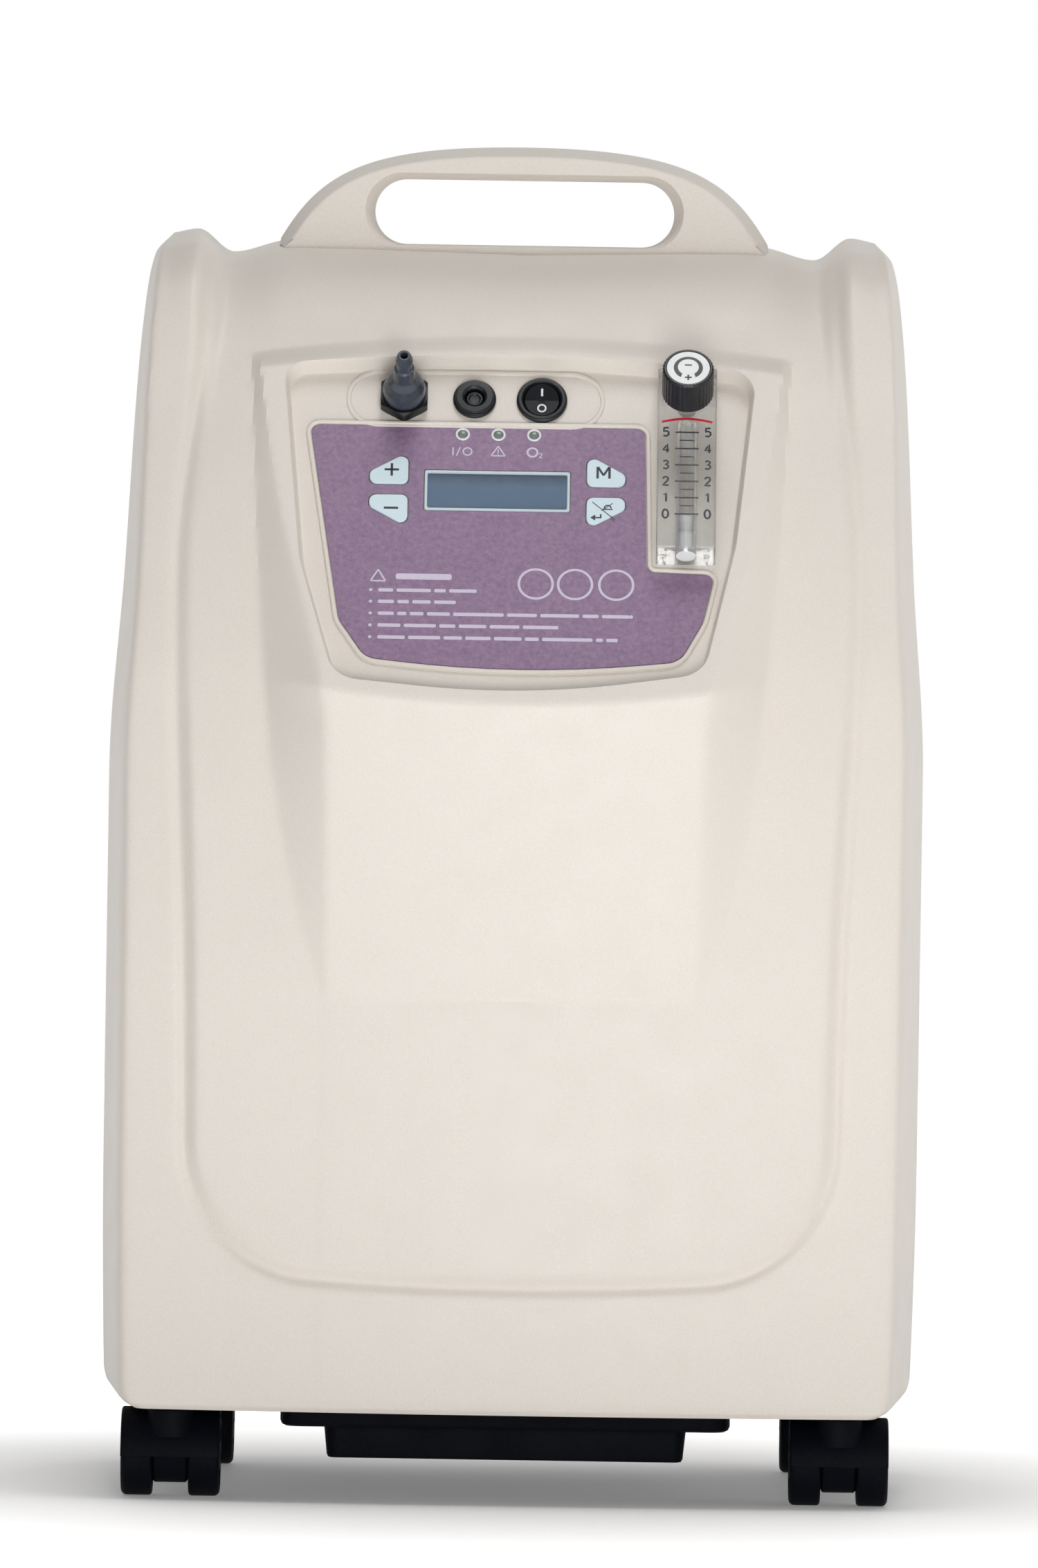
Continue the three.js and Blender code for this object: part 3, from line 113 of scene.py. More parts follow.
# The console: half widths of its face and of its foot at a height, then its edges.
CONSOLE_BASE = 226.0
CONSOLE_START = CONSOLE_BASE - 4
CONSOLE_FOLD = [(CONSOLE_BASE, 81), (340, 83), (370, 88), (430, 104), (480, 113), (512, 117)]
CONSOLE_FOOT = [
    (CONSOLE_BASE, 83), (261, 94), (293, 101), (344, 108.5), (430, 115), (512, 119),
]
CONSOLE_BOW = 4.0
CONSOLE_FALL = 0.12
CONSOLE_HALF = 82.0
CONSOLE_INSET = 1.3  # how far its inner walls move in for each millimetre of wall
CONSOLE_TOP, CONSOLE_TOP_BOW, CONSOLE_TOP_HALF, CONSOLE_TOP_BLEND = 509.0, 8.0, 115.0, 4.5
TILT = math.radians(30.0)
LIP_Z = 351.0
LIP_ROUND, FOOT_ROUND, FOLD_ROUND = 1.6, 0.8, 0.09

# Room the inside gives to the console's fittings: how deep, and between which levels.
BOSS_DEEP, BOSS_REACH, BOSS_LOW, BOSS_HIGH = 15.0, 8.0, (330, 345), (512, 530)

# Grids of the skins: counts across and up, then (place, breadth, weight) peaks of closeness over
# the share of the half width and over the height.
BOTTOM_EDGE, ROOF_EDGE = (42, 4, 4.0), (548, 9, 3.0)
OUTER_GRID = {
    FRONT: ((236, 290), [(-145 / HALF_WIDTH, 0.05, 2.2), (145 / HALF_WIDTH, 0.05, 2.2),
                         (-0.53, 0.09, 1.0), (0.53, 0.09, 1.0)],
            [BOTTOM_EDGE, (GROOVE_BOTTOM, 10, 2.5), (LIP_Z, 8, 3.0), (506, 9, 4.0), ROOF_EDGE,
             (CONSOLE_BASE, 12, 0.6)]),
    REAR: ((150, 170), [], [BOTTOM_EDGE, (530, 30, 2.0), ROOF_EDGE]),
}
INNER_GRID = ((110, 120), [(-0.64, 0.06, 2.0), (0.64, 0.06, 2.0)],
              [BOTTOM_EDGE, ROOF_EDGE, (512, 8, 1.0)])
PAST_PARTING, PAST_BOTTOM = 5.0, 10.0

# The handle: its foot, the cubic curve of its arch, and the (depth, outward) steps of its side.
HANDLE_TOP = HEIGHT - 0.05
HANDLE_FOOT = (112, ROOF_Z - 12)
HANDLE_CURVE = np.array([(109, ROOF_Z + 3), (92, ROOF_Z + 32), (72, HANDLE_TOP), (0, HANDLE_TOP)])
HANDLE_FACE, HANDLE_FILLET, HANDLE_DRAWN = 24.0, 1.6, -4.6
HANDLE_SIDE = [
    (GAP / 2, 0.0), (9.0, -0.3), (10.5, -0.9), (HANDLE_FACE - HANDLE_FILLET, HANDLE_DRAWN),
]
GRIP_HALF, GRIP_LOW, GRIP_HIGH = 67.0, 556.0, 585.0
GRIP_FLARE = [(-40, 12), (-26, 6.6), (-24.2, 4.3), (-22, 3.0), (-18.5, 2.2), (0, 0)]

# ------------------------------------------------------------------ sizes on the console
# These count in the console's own frame: x right, y into the face, level up along it.
FLOOR = 9.0
THROUGH = 50.0
RECESS = [
    (-104, 172, 10), (0, 178, 600), (103, 170, 12), (94.5, 82, 60), (81, 17, 14), (3, 4.5, 350),
    (-79, 13, 14), (-95, 72, 60),
]
RECESS_WALL = [
    (-30, 14), (-2.2, 2.6), (-1.0, 1.9), (0.0, 0.95), (1.2, 0.25), (2.6, 0), (7.6, -0.9),
    (8.6, -1.3), (FLOOR, -2.2),
]
BEAD = [
    (-0.5, -0.6), (-0.5, 0.35), (-0.38, 0.8), (-0.15, 1.0), (0.15, 1.0), (0.38, 0.8), (0.5, 0.35),
    (0.5, -0.6),
]

METER_X, METER_HALF, METER_BOTTOM, METER_TOP, METER_PROUD = 73.2, 13.0, 76.0, 168.0, 16.0
LABEL_NOTCH = METER_X - METER_HALF - 3.9
LABEL = [
    (-92.5, 145, 4), (LABEL_NOTCH - 1.5, 145, 4), (LABEL_NOTCH, METER_BOTTOM - 4, 4),
    (86, METER_BOTTOM - 5, 4), (81, 47, 20), (71, 27, 10), (1, 19, 450), (-66, 27, 10),
    (-78, 46, 12),
]
LABEL_BACK = FLOOR - GAP
LABEL_FRONT = LABEL_BACK - 0.6

FITTING_LEVEL = 159.0
NOZZLE_X, BREAKER_X, SWITCH_X = -51.5, -20.5, 9.2
NOZZLE_HOLE_R, BREAKER_HOLE_R, SWITCH_HOLE_R = 5.3, 6.3, 9.7
ROCKER_REST = math.radians(9.0)
LED_LEVEL, LED_HOLE_R = 141.0, 2.4
LED_X = (-25.4, -9.7, 6.0)
DISPLAY_X, DISPLAY_LEVEL, DISPLAY_WIDTH, DISPLAY_HEIGHT = -9.8, 112.2, 64.0, 20.5
KEY_HALF, KEY_TALL = 8.5, 8.25
KEYS = {  # x, level, and the way to the key's cut corner
    "plus": (-57.5, 123.2, -1, 1), "minus": (-57.5, 101.2, -1, -1),
    "mode": (38.0, 123.2, 1, 1), "mute": (38.0, 101.2, 1, -1),
}

METER_FRONT = LABEL_BACK - METER_PROUD
METER_AXIS = LABEL_BACK - METER_PROUD / 2
SPIGOT_LEVELS = (METER_BOTTOM + 12, METER_TOP - 12)
SCALE_ZERO, SCALE_STEP, SCALE_COUNT = 92.8, 8.34, 11
KNOB_LEVEL, KNOB_R, KNOB_TALL = 152.0, 11.3, 18.0
KNOB_LEAN = math.radians(10.0)
KNOB_FOOT = 0.4 + KNOB_R * math.sin(KNOB_LEAN)

NOTICE_LEFT, NOTICE_START, NOTICE_GAP = -64.3, -61.0, 1.5
PRINT_ROWS = [  # level, right end and lengths of each row of bars
    (61.0, -16, (6.5, 15, 5, 12, 9)), (55.2, -27, (7, 5, 8, 20)),
    (49.2, 49, (7, 4, 6, 10, 22, 13, 17, 7, 12, 9)), (43.2, 18, (10, 14, 7, 12, 13, 30)),
    (37.2, 44, (12, 14, 8, 11, 12, 6, 22, 3, 20)),
]
PRINT_RING_X, PRINT_RING_LEVEL, PRINT_RING_R = (7.8, 25.0, 43.0), 65.2, 7.4
SIGN_LEVEL = 132.2

# ------------------------------------------------------------------ sizes low down and behind
CASTER_X, CASTER_Y, TRAIL = HALF_WIDTH - 35.5, HALF_DEPTH - 65.5, 12.0
WHEEL_R, WHEEL_IN, WHEEL_OUT = 18.0, 7.95, 21.75
HOOD_IN, HOOD_OUT, WEB_HALF = 18.8, 21.0, 7.55
CORNERS = {
    "front_left": (-1, -1), "front_right": (1, -1), "rear_left": (-1, 1), "rear_right": (1, 1),
}

# Half width, front, rear and corner radius of the box under the cabinet and of its flange.
BOX_PLAN, FLANGE_PLAN = (80.5, -110.0, 20.0, 7.0), (99.0, -122.0, 32.0, 10.0)
BOX_BOTTOM, FLANGE_BOTTOM, BOX_TOP = 17.5, 31.7, 39.7
BOX_SLOT_SHARES = (-0.56, -0.19, 0.19, 0.56)

FILTER_Z = ROOF_Z - 185
COVER_WIDTH, COVER_HEIGHT, COVER_THICK = 144.6, 106.6, 4.0
LOUVRES, LOUVRE_WIDTH, LOUVRE_SPAN, LOUVRE_TALL, LOUVRE_SLOPE = 7, 121.4, 83.4, 6.0, 0.6
INLET_X, INLET_Z, INLET_DEEP = -70.0, 105.0, 17.0
INLET_HALF_WIDTH, INLET_HALF_HEIGHT = 18.75, 15.5

# ------------------------------------------------------------------ light and camera
FLOOR_HALF = 6000.0
FLOOR_GLOW = (0.22, 0.6, 0.15, 0.75)  # the radii in metres between which it grows, two strengths
WORLD_GLOW = (0.3, 0.9, 0.17, 1.0)    # the direction's Y likewise, two strengths
LIGHTS = [  # name, place and target in metres, breadth in metres and power in watts
    ("key_light", (0.12, -1.45, 0.12), (0, 0, 0.2), 0.4, 6.6),
    ("side_light", (2.3, -0.5, 0.8), (0, 0, 0.35), 0.6, 4.5),
    ("top_light", (0.1, -0.5, 2.2), (0, 0, 0.3), 0.8, 13),
]
CAMERA_PLACE = Vector((0.02, -6.0, 0.36))
CAMERA_TARGET = Vector((0.0014, 0.0, 0.3147))
CAMERA_LENS = 307.2
CAMERA_ROLL = math.radians(0.9)


# ------------------------------------------------------------------ curves and surfaces
def along(stations, t):
    """Smooth curve through (position, value) stations: a cubic between each two, whose slope at a
    station is the harmonic mean of the slopes beside it, or 0 at a crest. Flat beyond the ends."""
    place, value = np.array(stations, float).T
    slope = np.diff(value) / np.diff(place)
    before = np.concatenate([slope[:1], slope])
    after = np.concatenate([slope, slope[-1:]])
    rising = before * after > 0
    tangent = np.where(rising, 2 * before * after / np.where(rising, before + after, 1), 0)
    t = np.clip(t, place[0], place[-1])
    i = np.clip(np.searchsorted(place, t, side="right") - 1, 0, len(slope) - 1)
    span = np.diff(place)[i]
    u = (t - place[i]) / span
    bend = 3 * u**2 - 2 * u**3
    lean = u * (1 - u) * ((1 - u) * tangent[i] - u * tangent[i + 1]) * span
    return value[i] + (value[i + 1] - value[i]) * bend + lean


def smooth(t, low, high):
    """0 below low, 1 above high, and 3u^2 - 2u^3 between."""
    u = np.clip((t - low) / (high - low), 0, 1)
    return 3 * u**2 - 2 * u**3


def soft_min(a, b, reach):
    """The lesser of a and b, with the corner between them rounded where they differ by < reach."""
    h = np.clip(0.5 + 0.5 * (b - a) / reach, 0, 1)
    return b * (1 - h) + a * h - reach * h * (1 - h)


def soft_clamp(t, reach):
    """t held between 0 and 1, with both corners rounded over reach."""
    return -soft_min(-soft_min(t, np.ones_like(t), reach), np.zeros_like(t), reach)


def groove_distance(x, z):
    """Distance from the U line of the front, less than 0 inside: a rounded box open at the top."""
    sag = GROOVE_SAG * (1 - (x / 100) ** 2)
    across = np.abs(x) - (along(GROOVE_HALF, z) - GROOVE_CORNER)
    down = GROOVE_BOTTOM - sag + GROOVE_CORNER - z
    distance = np.hypot(np.maximum(across, 0), np.maximum(down, 0))
    return distance + np.minimum(np.maximum(across, down), 0) - GROOVE_CORNER


def console_face(x, z):
    """The console: the plane that leans back by TILT, cut off by a bowed, nearly upright face."""
    sloping = HALF_DEPTH - (z - LIP_Z) * math.tan(TILT)
    bowed = HALF_DEPTH - CONSOLE_BOW * (x / CONSOLE_HALF) ** 2 - (LIP_Z - z) * CONSOLE_FALL
    return soft_min(sloping, bowed, LIP_ROUND)


def front_depth(x, z, inset=0.0):
    """Depth of the front: frame and inner profiles joined across the groove, less a channel in a
    bell curve beside it and a bow that grows as the square of x, plus the console above its
    foot."""
    outer = along(FRAME_PROFILE, z)
    distance = groove_distance(x, z)
    inside = soft_clamp(0.5 - distance / (2 * along(GROOVE_BREADTH, z)), GROOVE_ROUND)
    plain = outer + (along(INNER_PROFILE, z) - outer) * inside
    plain = plain - CHANNEL_DEEP * np.exp(-(((distance - CHANNEL_OFF) / CHANNEL_BROAD) ** 2))
    plain = plain - FRONT_BOW * (x / HALF_WIDTH) ** 2 * smooth(outer, 0, HALF_DEPTH / 2)
    rise = np.where(z > CONSOLE_START, console_face(x, z) - plain, 0)
    rise = -soft_min(-rise, np.zeros_like(rise), FOOT_ROUND)
    fold = along(CONSOLE_FOLD, z) - CONSOLE_INSET * inset
    foot = along(CONSOLE_FOOT, z) - CONSOLE_INSET * inset
    share = soft_clamp((foot - np.abs(x)) / (foot - fold), FOLD_ROUND)
    top = CONSOLE_TOP - CONSOLE_TOP_BOW * (x / CONSOLE_TOP_HALF) ** 2
    share = share * (1 - smooth(z, top - CONSOLE_TOP_BLEND, top + CONSOLE_TOP_BLEND))
    return plain + rise * share


def rear_depth(x, z):
    """Depth of the back: its profile, less REAR_CURL times the square of the way past the flat."""
    return along(REAR_PROFILE, z) - REAR_CURL * np.maximum(np.abs(x) - REAR_FLAT, 0) ** 2


def half_width(z):
    """Half the cabinet's width at a height."""
    return along(SIDE_PROFILE, z)


def roof_shift(x):
    """Rise of the roof line at a distance from the middle."""
    return along(ROOF_LINE, np.abs(x))


def spread(low, high, count, peaks, warp=lambda t: t):
    """count + 1 values from low to high, closer round each (place, breadth, weight) peak: equal
    steps of the running sum of 1 + the peaks' bell curves."""
    t = np.linspace(-1, 1, 6001)
    value = low + (high - low) * (warp(t) + 1) / 2
    density = np.ones_like(t)
    for place, breadth, weight in peaks:
        density += weight * np.exp(-(((value - place) / breadth) ** 2))
    total = np.concatenate([[0], np.cumsum((density[1:] + density[:-1]) / 2)])
    return np.interp(np.linspace(0, total[-1], count + 1), total, value)


def shell_grid(facing, inset, shares, levels):
    """The shell's skin over (share, level): x = share * half width, z = level bent to the roof
    line, y = the depth of the face joined to the side wall by an inverse-power sum."""
    level, share = np.meshgrid(levels, shares, indexing="ij")
    x = share * (half_width(level) - inset)
    z = level + (roof_shift(x) - inset) * smooth(level, ROOF_Z - ROOF_BLEND, ROOF_Z)
    down = inset * smooth(z, CABINET_BOTTOM, CABINET_BOTTOM + BOTTOM_BLEND)
    lowered = z + down - roof_shift(x) * smooth(z, ROOF_Z - ROOF_BLEND, ROOF_Z)
    face = front_depth(x, lowered, inset) if facing == FRONT else rear_depth(x, lowered)
    face = np.maximum(face - inset, 1e-3)
    side = np.maximum(SIDE_DRAFT * (half_width(level) - inset - np.abs(x)), 1e-3)
    depth = (face**-CORNER_POWER + side**-CORNER_POWER) ** (-1 / CORNER_POWER)
    if inset and facing == FRONT:
        fold = along(CONSOLE_FOLD, z)
        boss = BOSS_DEEP * (1 - smooth(np.abs(x), fold - 1, fold + BOSS_REACH))
        depth -= boss * smooth(z, *BOSS_LOW) * (1 - smooth(z, *BOSS_HIGH))
    depth[:, [0, -1]] = 0
    depth[-1] = 0
    return np.stack([x, facing * np.maximum(depth, GAP / 2), z], axis=-1)


# ------------------------------------------------------------------ meshes
def mesh_object(name, points, faces):
    """A mesh object from points in millimetres."""
    mesh = bpy.data.meshes.new(name)
    mesh.from_pydata((np.asarray(points).reshape(-1, 3) * MM).tolist(), [], faces)
    mesh.validate()
    piece = bpy.data.objects.new(name, mesh)
    SCENE.collection.objects.link(piece)
    return piece


def grid_faces(rows, columns, wrap=False):
    """Quads of a rows by columns grid of points, wrapped round on its second index if asked."""
    last = columns if wrap else columns - 1
    r, c = np.meshgrid(np.arange(rows - 1), np.arange(last), indexing="ij")
    here, there = c, (c + 1) % columns
    low, high = r * columns, (r + 1) * columns
    quads = np.stack([low + here, low + there, high + there, high + here], -1)
    return quads.reshape(-1, 4).tolist()


def outward(piece, merge=False):
    """Turns every face of a closed piece outwards, after joining points that coincide if asked."""
    work = bmesh.new()
    work.from_mesh(piece.data)
    if merge:
        bmesh.ops.remove_doubles(work, verts=work.verts, dist=1e-7)
    bmesh.ops.recalc_face_normals(work, faces=work.faces)
    work.to_mesh(piece.data)
    work.free()
    return piece


def closed_grid(name, grid):
    """A solid between a grid surface and two flat lids: one through its sides and top, and one
    through its first row."""
    rows, columns = grid.shape[:2]
    at = np.arange(rows * columns).reshape(rows, columns)
    lid = np.concatenate([at[:, 0], at[-1, 1:], at[-2::-1, -1]])
    faces = grid_faces(rows, columns) + [lid.tolist(), at[0, ::-1].tolist()]
    return outward(mesh_object(name, grid, faces))


def loft(name, rings):
    """A solid carried along rings: each ring is a closed loop of the same number of points."""
    rings = np.asarray(rings, float)
    count, around = rings.shape[:2]
    caps = [list(range(around)), list(range((count - 1) * around, count * around))]
    return outward(mesh_object(name, rings, grid_faces(count, around, wrap=True) + caps))


def loft_ring(name, rings):
    """A solid ring: a loft whose last ring joins its first."""
    rings = np.asarray(rings, float)
    count, around = rings.shape[:2]
    faces = np.array(grid_faces(count + 1, around, wrap=True)) % (count * around)
    return outward(mesh_object(name, rings, faces.tolist()))


def turned(name, profile, place, sides=64, ribs=None):
    """A surface of revolution: (radius, height) pairs carried round an axis, each point then put
    in the cabinet's frame by place. A profile that starts off the axis closes on itself. ribs
    gives a factor on the radius for each pair and angle."""
    radius, height = np.asarray(profile, float).T
    turn = np.linspace(0, 2 * np.pi, sides, endpoint=False)
    scale = np.ones((len(radius), sides)) if ribs is None else ribs(radius[:, None], turn[None])
    points = np.stack([
        radius[:, None] * scale * np.cos(turn), radius[:, None] * scale * np.sin(turn),
        np.repeat(height[:, None], sides, 1),
    ], -1)
    if radius[0] > 1e-6:
        points = np.concatenate([points, points[:1]])
    piece = mesh_object(name, place(points), grid_faces(len(points), sides, wrap=True))
    return outward(piece, merge=True)


def arcs(profile, steps=5):
    """A profile whose corners (radius, height, fillet) are rounded by circular arcs."""
    points = [np.array(corner[:2], float) for corner in profile]
    fillets = [corner[2] if len(corner) > 2 else 0 for corner in profile]
    rounded_points = []
    for i, (point, fillet) in enumerate(zip(points, fillets)):
        if not fillet or i in (0, len(points) - 1):
            rounded_points.append(point)
            continue
        back = points[i - 1] - point
        ahead = points[i + 1] - point
        back /= np.linalg.norm(back)
        ahead /= np.linalg.norm(ahead)
        rounded_points += list(corner_arc(point, back, ahead, fillet, steps))
    return np.array(rounded_points)


def corner_arc(point, back, ahead, fillet, steps):
    """Points of the arc of radius fillet that touches both sides of a corner."""
    half = math.acos(np.clip(back @ ahead, -1, 1)) / 2
    if math.pi / 2 - half < 1e-3:
        return [point]
    reach = fillet / math.tan(half)
    middle = (back + ahead) / np.linalg.norm(back + ahead)
    centre = point + middle * fillet / math.sin(half)
    start, end = point + back * reach - centre, point + ahead * reach - centre
    sweep = math.acos(np.clip(start @ end / fillet**2, -1, 1))
    u = np.linspace(0, 1, steps + 1)[:, None]
    return centre + (np.sin((1 - u) * sweep) * start + np.sin(u * sweep) * end) / math.sin(sweep)


def outline(corners, steps=8, pieces=6):
    """A closed outline through (x, y, radius) corners, rounded by arcs, with each straight
    stretch divided into pieces."""
    points = [np.array(c[:2], float) for c in corners]
    made = []
    count = len(corners)
    for i in range(count):
        back = points[i - 1] - points[i]
        ahead = points[(i + 1) % count] - points[i]
        back /= np.linalg.norm(back)
        ahead /= np.linalg.norm(ahead)
        made.append(np.array(corner_arc(points[i], back, ahead, corners[i][2], steps)))
    result = []
    for i in range(count):
        result.append(made[i])
        start, end = made[i][-1], made[(i + 1) % count][0]
        share = np.arange(1, pieces)[:, None] / pieces
        result.append(start + (end - start) * share)
    return np.concatenate(result)


def box_loop(width, height, radius, x=0.0, level=0.0, steps=6, pieces=2):
    """A rectangle's outline round (x, level), its corners rounded by arcs."""
    a, b = width / 2, height / 2
    corners = ((-a, -b), (a, -b), (a, b), (-a, b))
    return outline([(x + i, level + j, radius) for i, j in corners], steps, pieces)


def disc_loop(radius, x, level, count=48):
    """A circle's outline round (x, level)."""
    turn = np.linspace(0, 2 * np.pi, count, endpoint=False)
    return np.stack([x + radius * np.cos(turn), level + radius * np.sin(turn)], -1)


def grown(loop, by):
    """A closed plane loop moved outwards by a distance along its corner normals."""
    before, after = np.roll(loop, 1, 0), np.roll(loop, -1, 0)
    run = (after - before) / np.linalg.norm(after - before, axis=1, keepdims=True)
    area = np.sum(loop[:, 0] * after[:, 1] - after[:, 0] * loop[:, 1])
    side = 1 if area > 0 else -1
    return loop + by * side * np.stack([run[:, 1], -run[:, 0]], -1)


def ring_at(loop, depth):
    """A plane loop of (x, z) as points at one y."""
    return np.stack([loop[:, 0], np.full(len(loop), float(depth)), loop[:, 1]], -1)


def along_y(loops):
    """Rings of a solid carried along Y: (loop of x and z, y) pairs."""
    return [ring_at(loop, y) for loop, y in loops]


def stacked(loop, levels):
    """Rings of one plane loop, moved outwards and lifted by each (height, outward) pair."""
    return np.array([np.column_stack([grown(loop, by), np.full(len(loop), float(height))])
                     for height, by in levels])


def console_points(points):
    """Points of the console's own frame (x right, y into the face, z up along it) in the
    cabinet's frame: turned back by TILT about the lip and moved there."""
    x, y, z = np.moveaxis(np.asarray(points, float), -1, 0)
    cos, sin = math.cos(TILT), math.sin(TILT)
    return np.stack([x, y * cos + z * sin - HALF_DEPTH, z * cos - y * sin + LIP_Z], -1)


def standing(x, level, depth=FLOOR, lean=0.0):
    """Places points that stand out of the console: their third number is the height along an
    axis that leans up by an angle from square to the face."""
    cos, sin = math.cos(lean), math.sin(lean)

    def place(points):
        a, b, h = np.moveaxis(np.asarray(points, float), -1, 0)
        into, up = depth - h * cos + b * sin, level + h * sin + b * cos
        return console_points(np.stack([x + a, into, up], -1))

    return place


def console_loft(name, levels):
    """A solid whose rings are plane loops at depths into the console: (loop, depth) pairs."""
    return loft(name, [console_points(ring) for ring in along_y(levels)])


def rounded_levels(loop, back, front, edge, steps=4):
    """Levels of a flat piece from its back to its front, whose front edge is a quarter round."""
    levels = [(loop, back), (loop, front + edge)]
    for u in np.linspace(0, math.pi / 2, steps + 1)[1:]:
        levels.append((grown(loop, -edge * (1 - math.cos(u))), front + edge * (1 - math.sin(u))))
    return levels


def stroke(points, width):
    """A line of the given width drawn through points: pairs of a left and a right point."""
    points = np.asarray(points, float)
    run = np.gradient(points, axis=0)
    run /= np.linalg.norm(run, axis=1, keepdims=True)
    side = np.stack([-run[:, 1], run[:, 0]], -1) * width / 2
    return np.stack([points + side, points - side], 1)


def side_strokes(corners, width):
    """A stroke along each side of a polygon."""
    corners = np.asarray(corners, float)
    return [stroke(side, width) for side in zip(corners, np.roll(corners, -1, 0))]


def bar(left, right, level, width):
    """A printed bar with slightly rounded ends."""
    return box_loop(right - left, width, width * 0.3, (left + right) / 2, level, 2)


def arc(radius, start=0.0, end=359.0, count=40, x=0.0, level=0.0, squash=1.0):
    """Points of a circular arc between two angles in degrees."""
    turn = np.radians(np.linspace(start, end, count))
    return np.stack([x + squash * radius * np.cos(turn), level + radius * np.sin(turn)], -1)


def prisms(name, shapes, low, high, place):
    """Flat printed shapes in one mesh, each carried from one height to another: a closed loop of
    points, or a strip of left and right points."""
    points, faces, start = [], [], 0
    for shape in shapes:
        strip = shape.ndim == 3
        loop = np.concatenate([shape[:, 0], shape[::-1, 1]]) if strip else shape
        count = len(loop)
        for height in (low, high):
            points.append(np.column_stack([loop, np.full(count, float(height))]))
        at = np.arange(count)
        after = (at + 1) % count
        faces += (np.stack([at, after, after + count, at + count], -1) + start).tolist()
        if strip:
            here = np.arange(len(shape) - 1)
            lid = np.stack([here, here + 1, count - 2 - here, count - 1 - here], -1)
        else:
            lid = at[None]
        faces += (lid[:, ::-1] + start).tolist() + (lid + start + count).tolist()
        start += 2 * count
    return outward(mesh_object(name, place(np.concatenate(points)), faces))


def combined(base, steps):
    """base after a chain of boolean steps: (operation, tool) pairs, whose tools are used up."""
    for operation, tool in steps:
        change = base.modifiers.new(tool.name, "BOOLEAN")
        change.operation = operation
        change.object = tool
        change.solver = "MANIFOLD"
    bpy.context.view_layer.update()
    shape = base.evaluated_get(bpy.context.evaluated_depsgraph_get())
    made = bpy.data.meshes.new_from_object(shape)
    base.modifiers.clear()
    base.data = made
    for _, tool in steps:
        bpy.data.objects.remove(tool)
    return base


def shaded(piece, angle=28):
    """Smooth shading with edges sharper than angle kept crisp."""
    mesh = piece.data
    mesh.polygons.foreach_set("use_smooth", np.ones(len(mesh.polygons), bool))
    mesh.set_sharp_from_angle(angle=math.radians(angle))
    normals = piece.modifiers.new("face_weighted_normals", "WEIGHTED_NORMAL")
    normals.keep_sharp = True
    normals.weight = 50
    return piece


def finish_piece(piece, material, body, replaces=()):
    """Gives a piece its material and body, and hides the CAD nodes it stands for."""
    piece.data.materials.clear()
    piece.data.materials.append(material)
    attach(piece, body)
    if replaces:
        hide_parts(*replaces)
    return piece


# ------------------------------------------------------------------ materials
def map_range(tree, value, numbers):
    """value carried from the first two numbers to the last two in a straight line, held beyond."""
    node = tree.nodes.new("ShaderNodeMapRange")
    for socket, number in zip(("From Min", "From Max", "To Min", "To Max"), numbers):
        node.inputs[socket].default_value = number
    tree.links.new(value, node.inputs["Value"])
    return node.outputs["Result"]


class Finish:
    """A Principled material with helpers for the patterns that feed it. Patterns read Object
    coordinates, in metres."""

    def __init__(self, name, colour, roughness, **sockets):
        self.material = bpy.data.materials.new(name)
        self.material.use_nodes = True
        self.tree = self.material.node_tree
        self.nodes, self.links = self.tree.nodes, self.tree.links
        self.shader = self.nodes["Principled BSDF"]
        self.shader.inputs["Base Color"].default_value = (*colour, 1)
        self.shader.inputs["Roughness"].default_value = roughness
        for socket, value in sockets.items():
            self.shader.inputs[socket.replace("_", " ")].default_value = value
        self.place = self.nodes.new("ShaderNodeTexCoord").outputs["Object"]

    def noise(self, scale, detail=3.0, roughness=0.5):
        """Fractal noise with scale cells to a metre."""
        node = self.nodes.new("ShaderNodeTexNoise")
        node.inputs["Scale"].default_value = scale
        node.inputs["Detail"].default_value = detail
        node.inputs["Roughness"].default_value = roughness
        self.links.new(self.place, node.inputs["Vector"])
        return node.outputs["Fac"]

    def cells(self, scale):
        """Distance to the nearest of scattered points, scale of them to a metre."""
        node = self.nodes.new("ShaderNodeTexVoronoi")
        node.inputs["Scale"].default_value = scale
        self.links.new(self.place, node.inputs["Vector"])
        return node.outputs["Distance"]

    def spread(self, value, *numbers):
        """map_range in this material."""
        return map_range(self.tree, value, numbers)

    def blend(self, value, first, second):
        """A colour between two, by value."""
        node = self.nodes.new("ShaderNodeMix")
        node.data_type = "RGBA"
        node.inputs["A"].default_value = (*first, 1)
        node.inputs["B"].default_value = (*second, 1)
        self.links.new(value, node.inputs["Factor"])
        return node.outputs["Result"]

    def colour(self, value):
        """Feeds the base colour."""
        self.links.new(value, self.shader.inputs["Base Color"])

    def rough(self, value):
        """Feeds the roughness."""
        self.links.new(value, self.shader.inputs["Roughness"])

    def bump(self, value, height, strength=1.0):
        """Raises the surface by value times height, in metres."""
        node = self.nodes.new("ShaderNodeBump")
        node.inputs["Strength"].default_value = strength
        node.inputs["Distance"].default_value = height
        self.links.new(value, node.inputs["Height"])
        self.links.new(node.outputs["Normal"], self.shader.inputs["Normal"])


def moulded(name, light, dark, roughness, grain=2600.0, height=0.00004, tone=60.0, **sockets):
    """Moulded plastic: a fine spark-eroded grain, with slow changes of tone and gloss."""
    finish = Finish(name, light, roughness, **sockets)
    speck = finish.noise(grain, 2.0, 0.6)
    slow = finish.noise(tone, 4.0)
    finish.colour(finish.blend(finish.spread(speck, 0.38, 0.62, 0, 1), dark, light))
    finish.rough(finish.spread(slow, 0.3, 0.7, roughness - 0.05, roughness + 0.06))
    finish.bump(speck, height)
    return finish.material


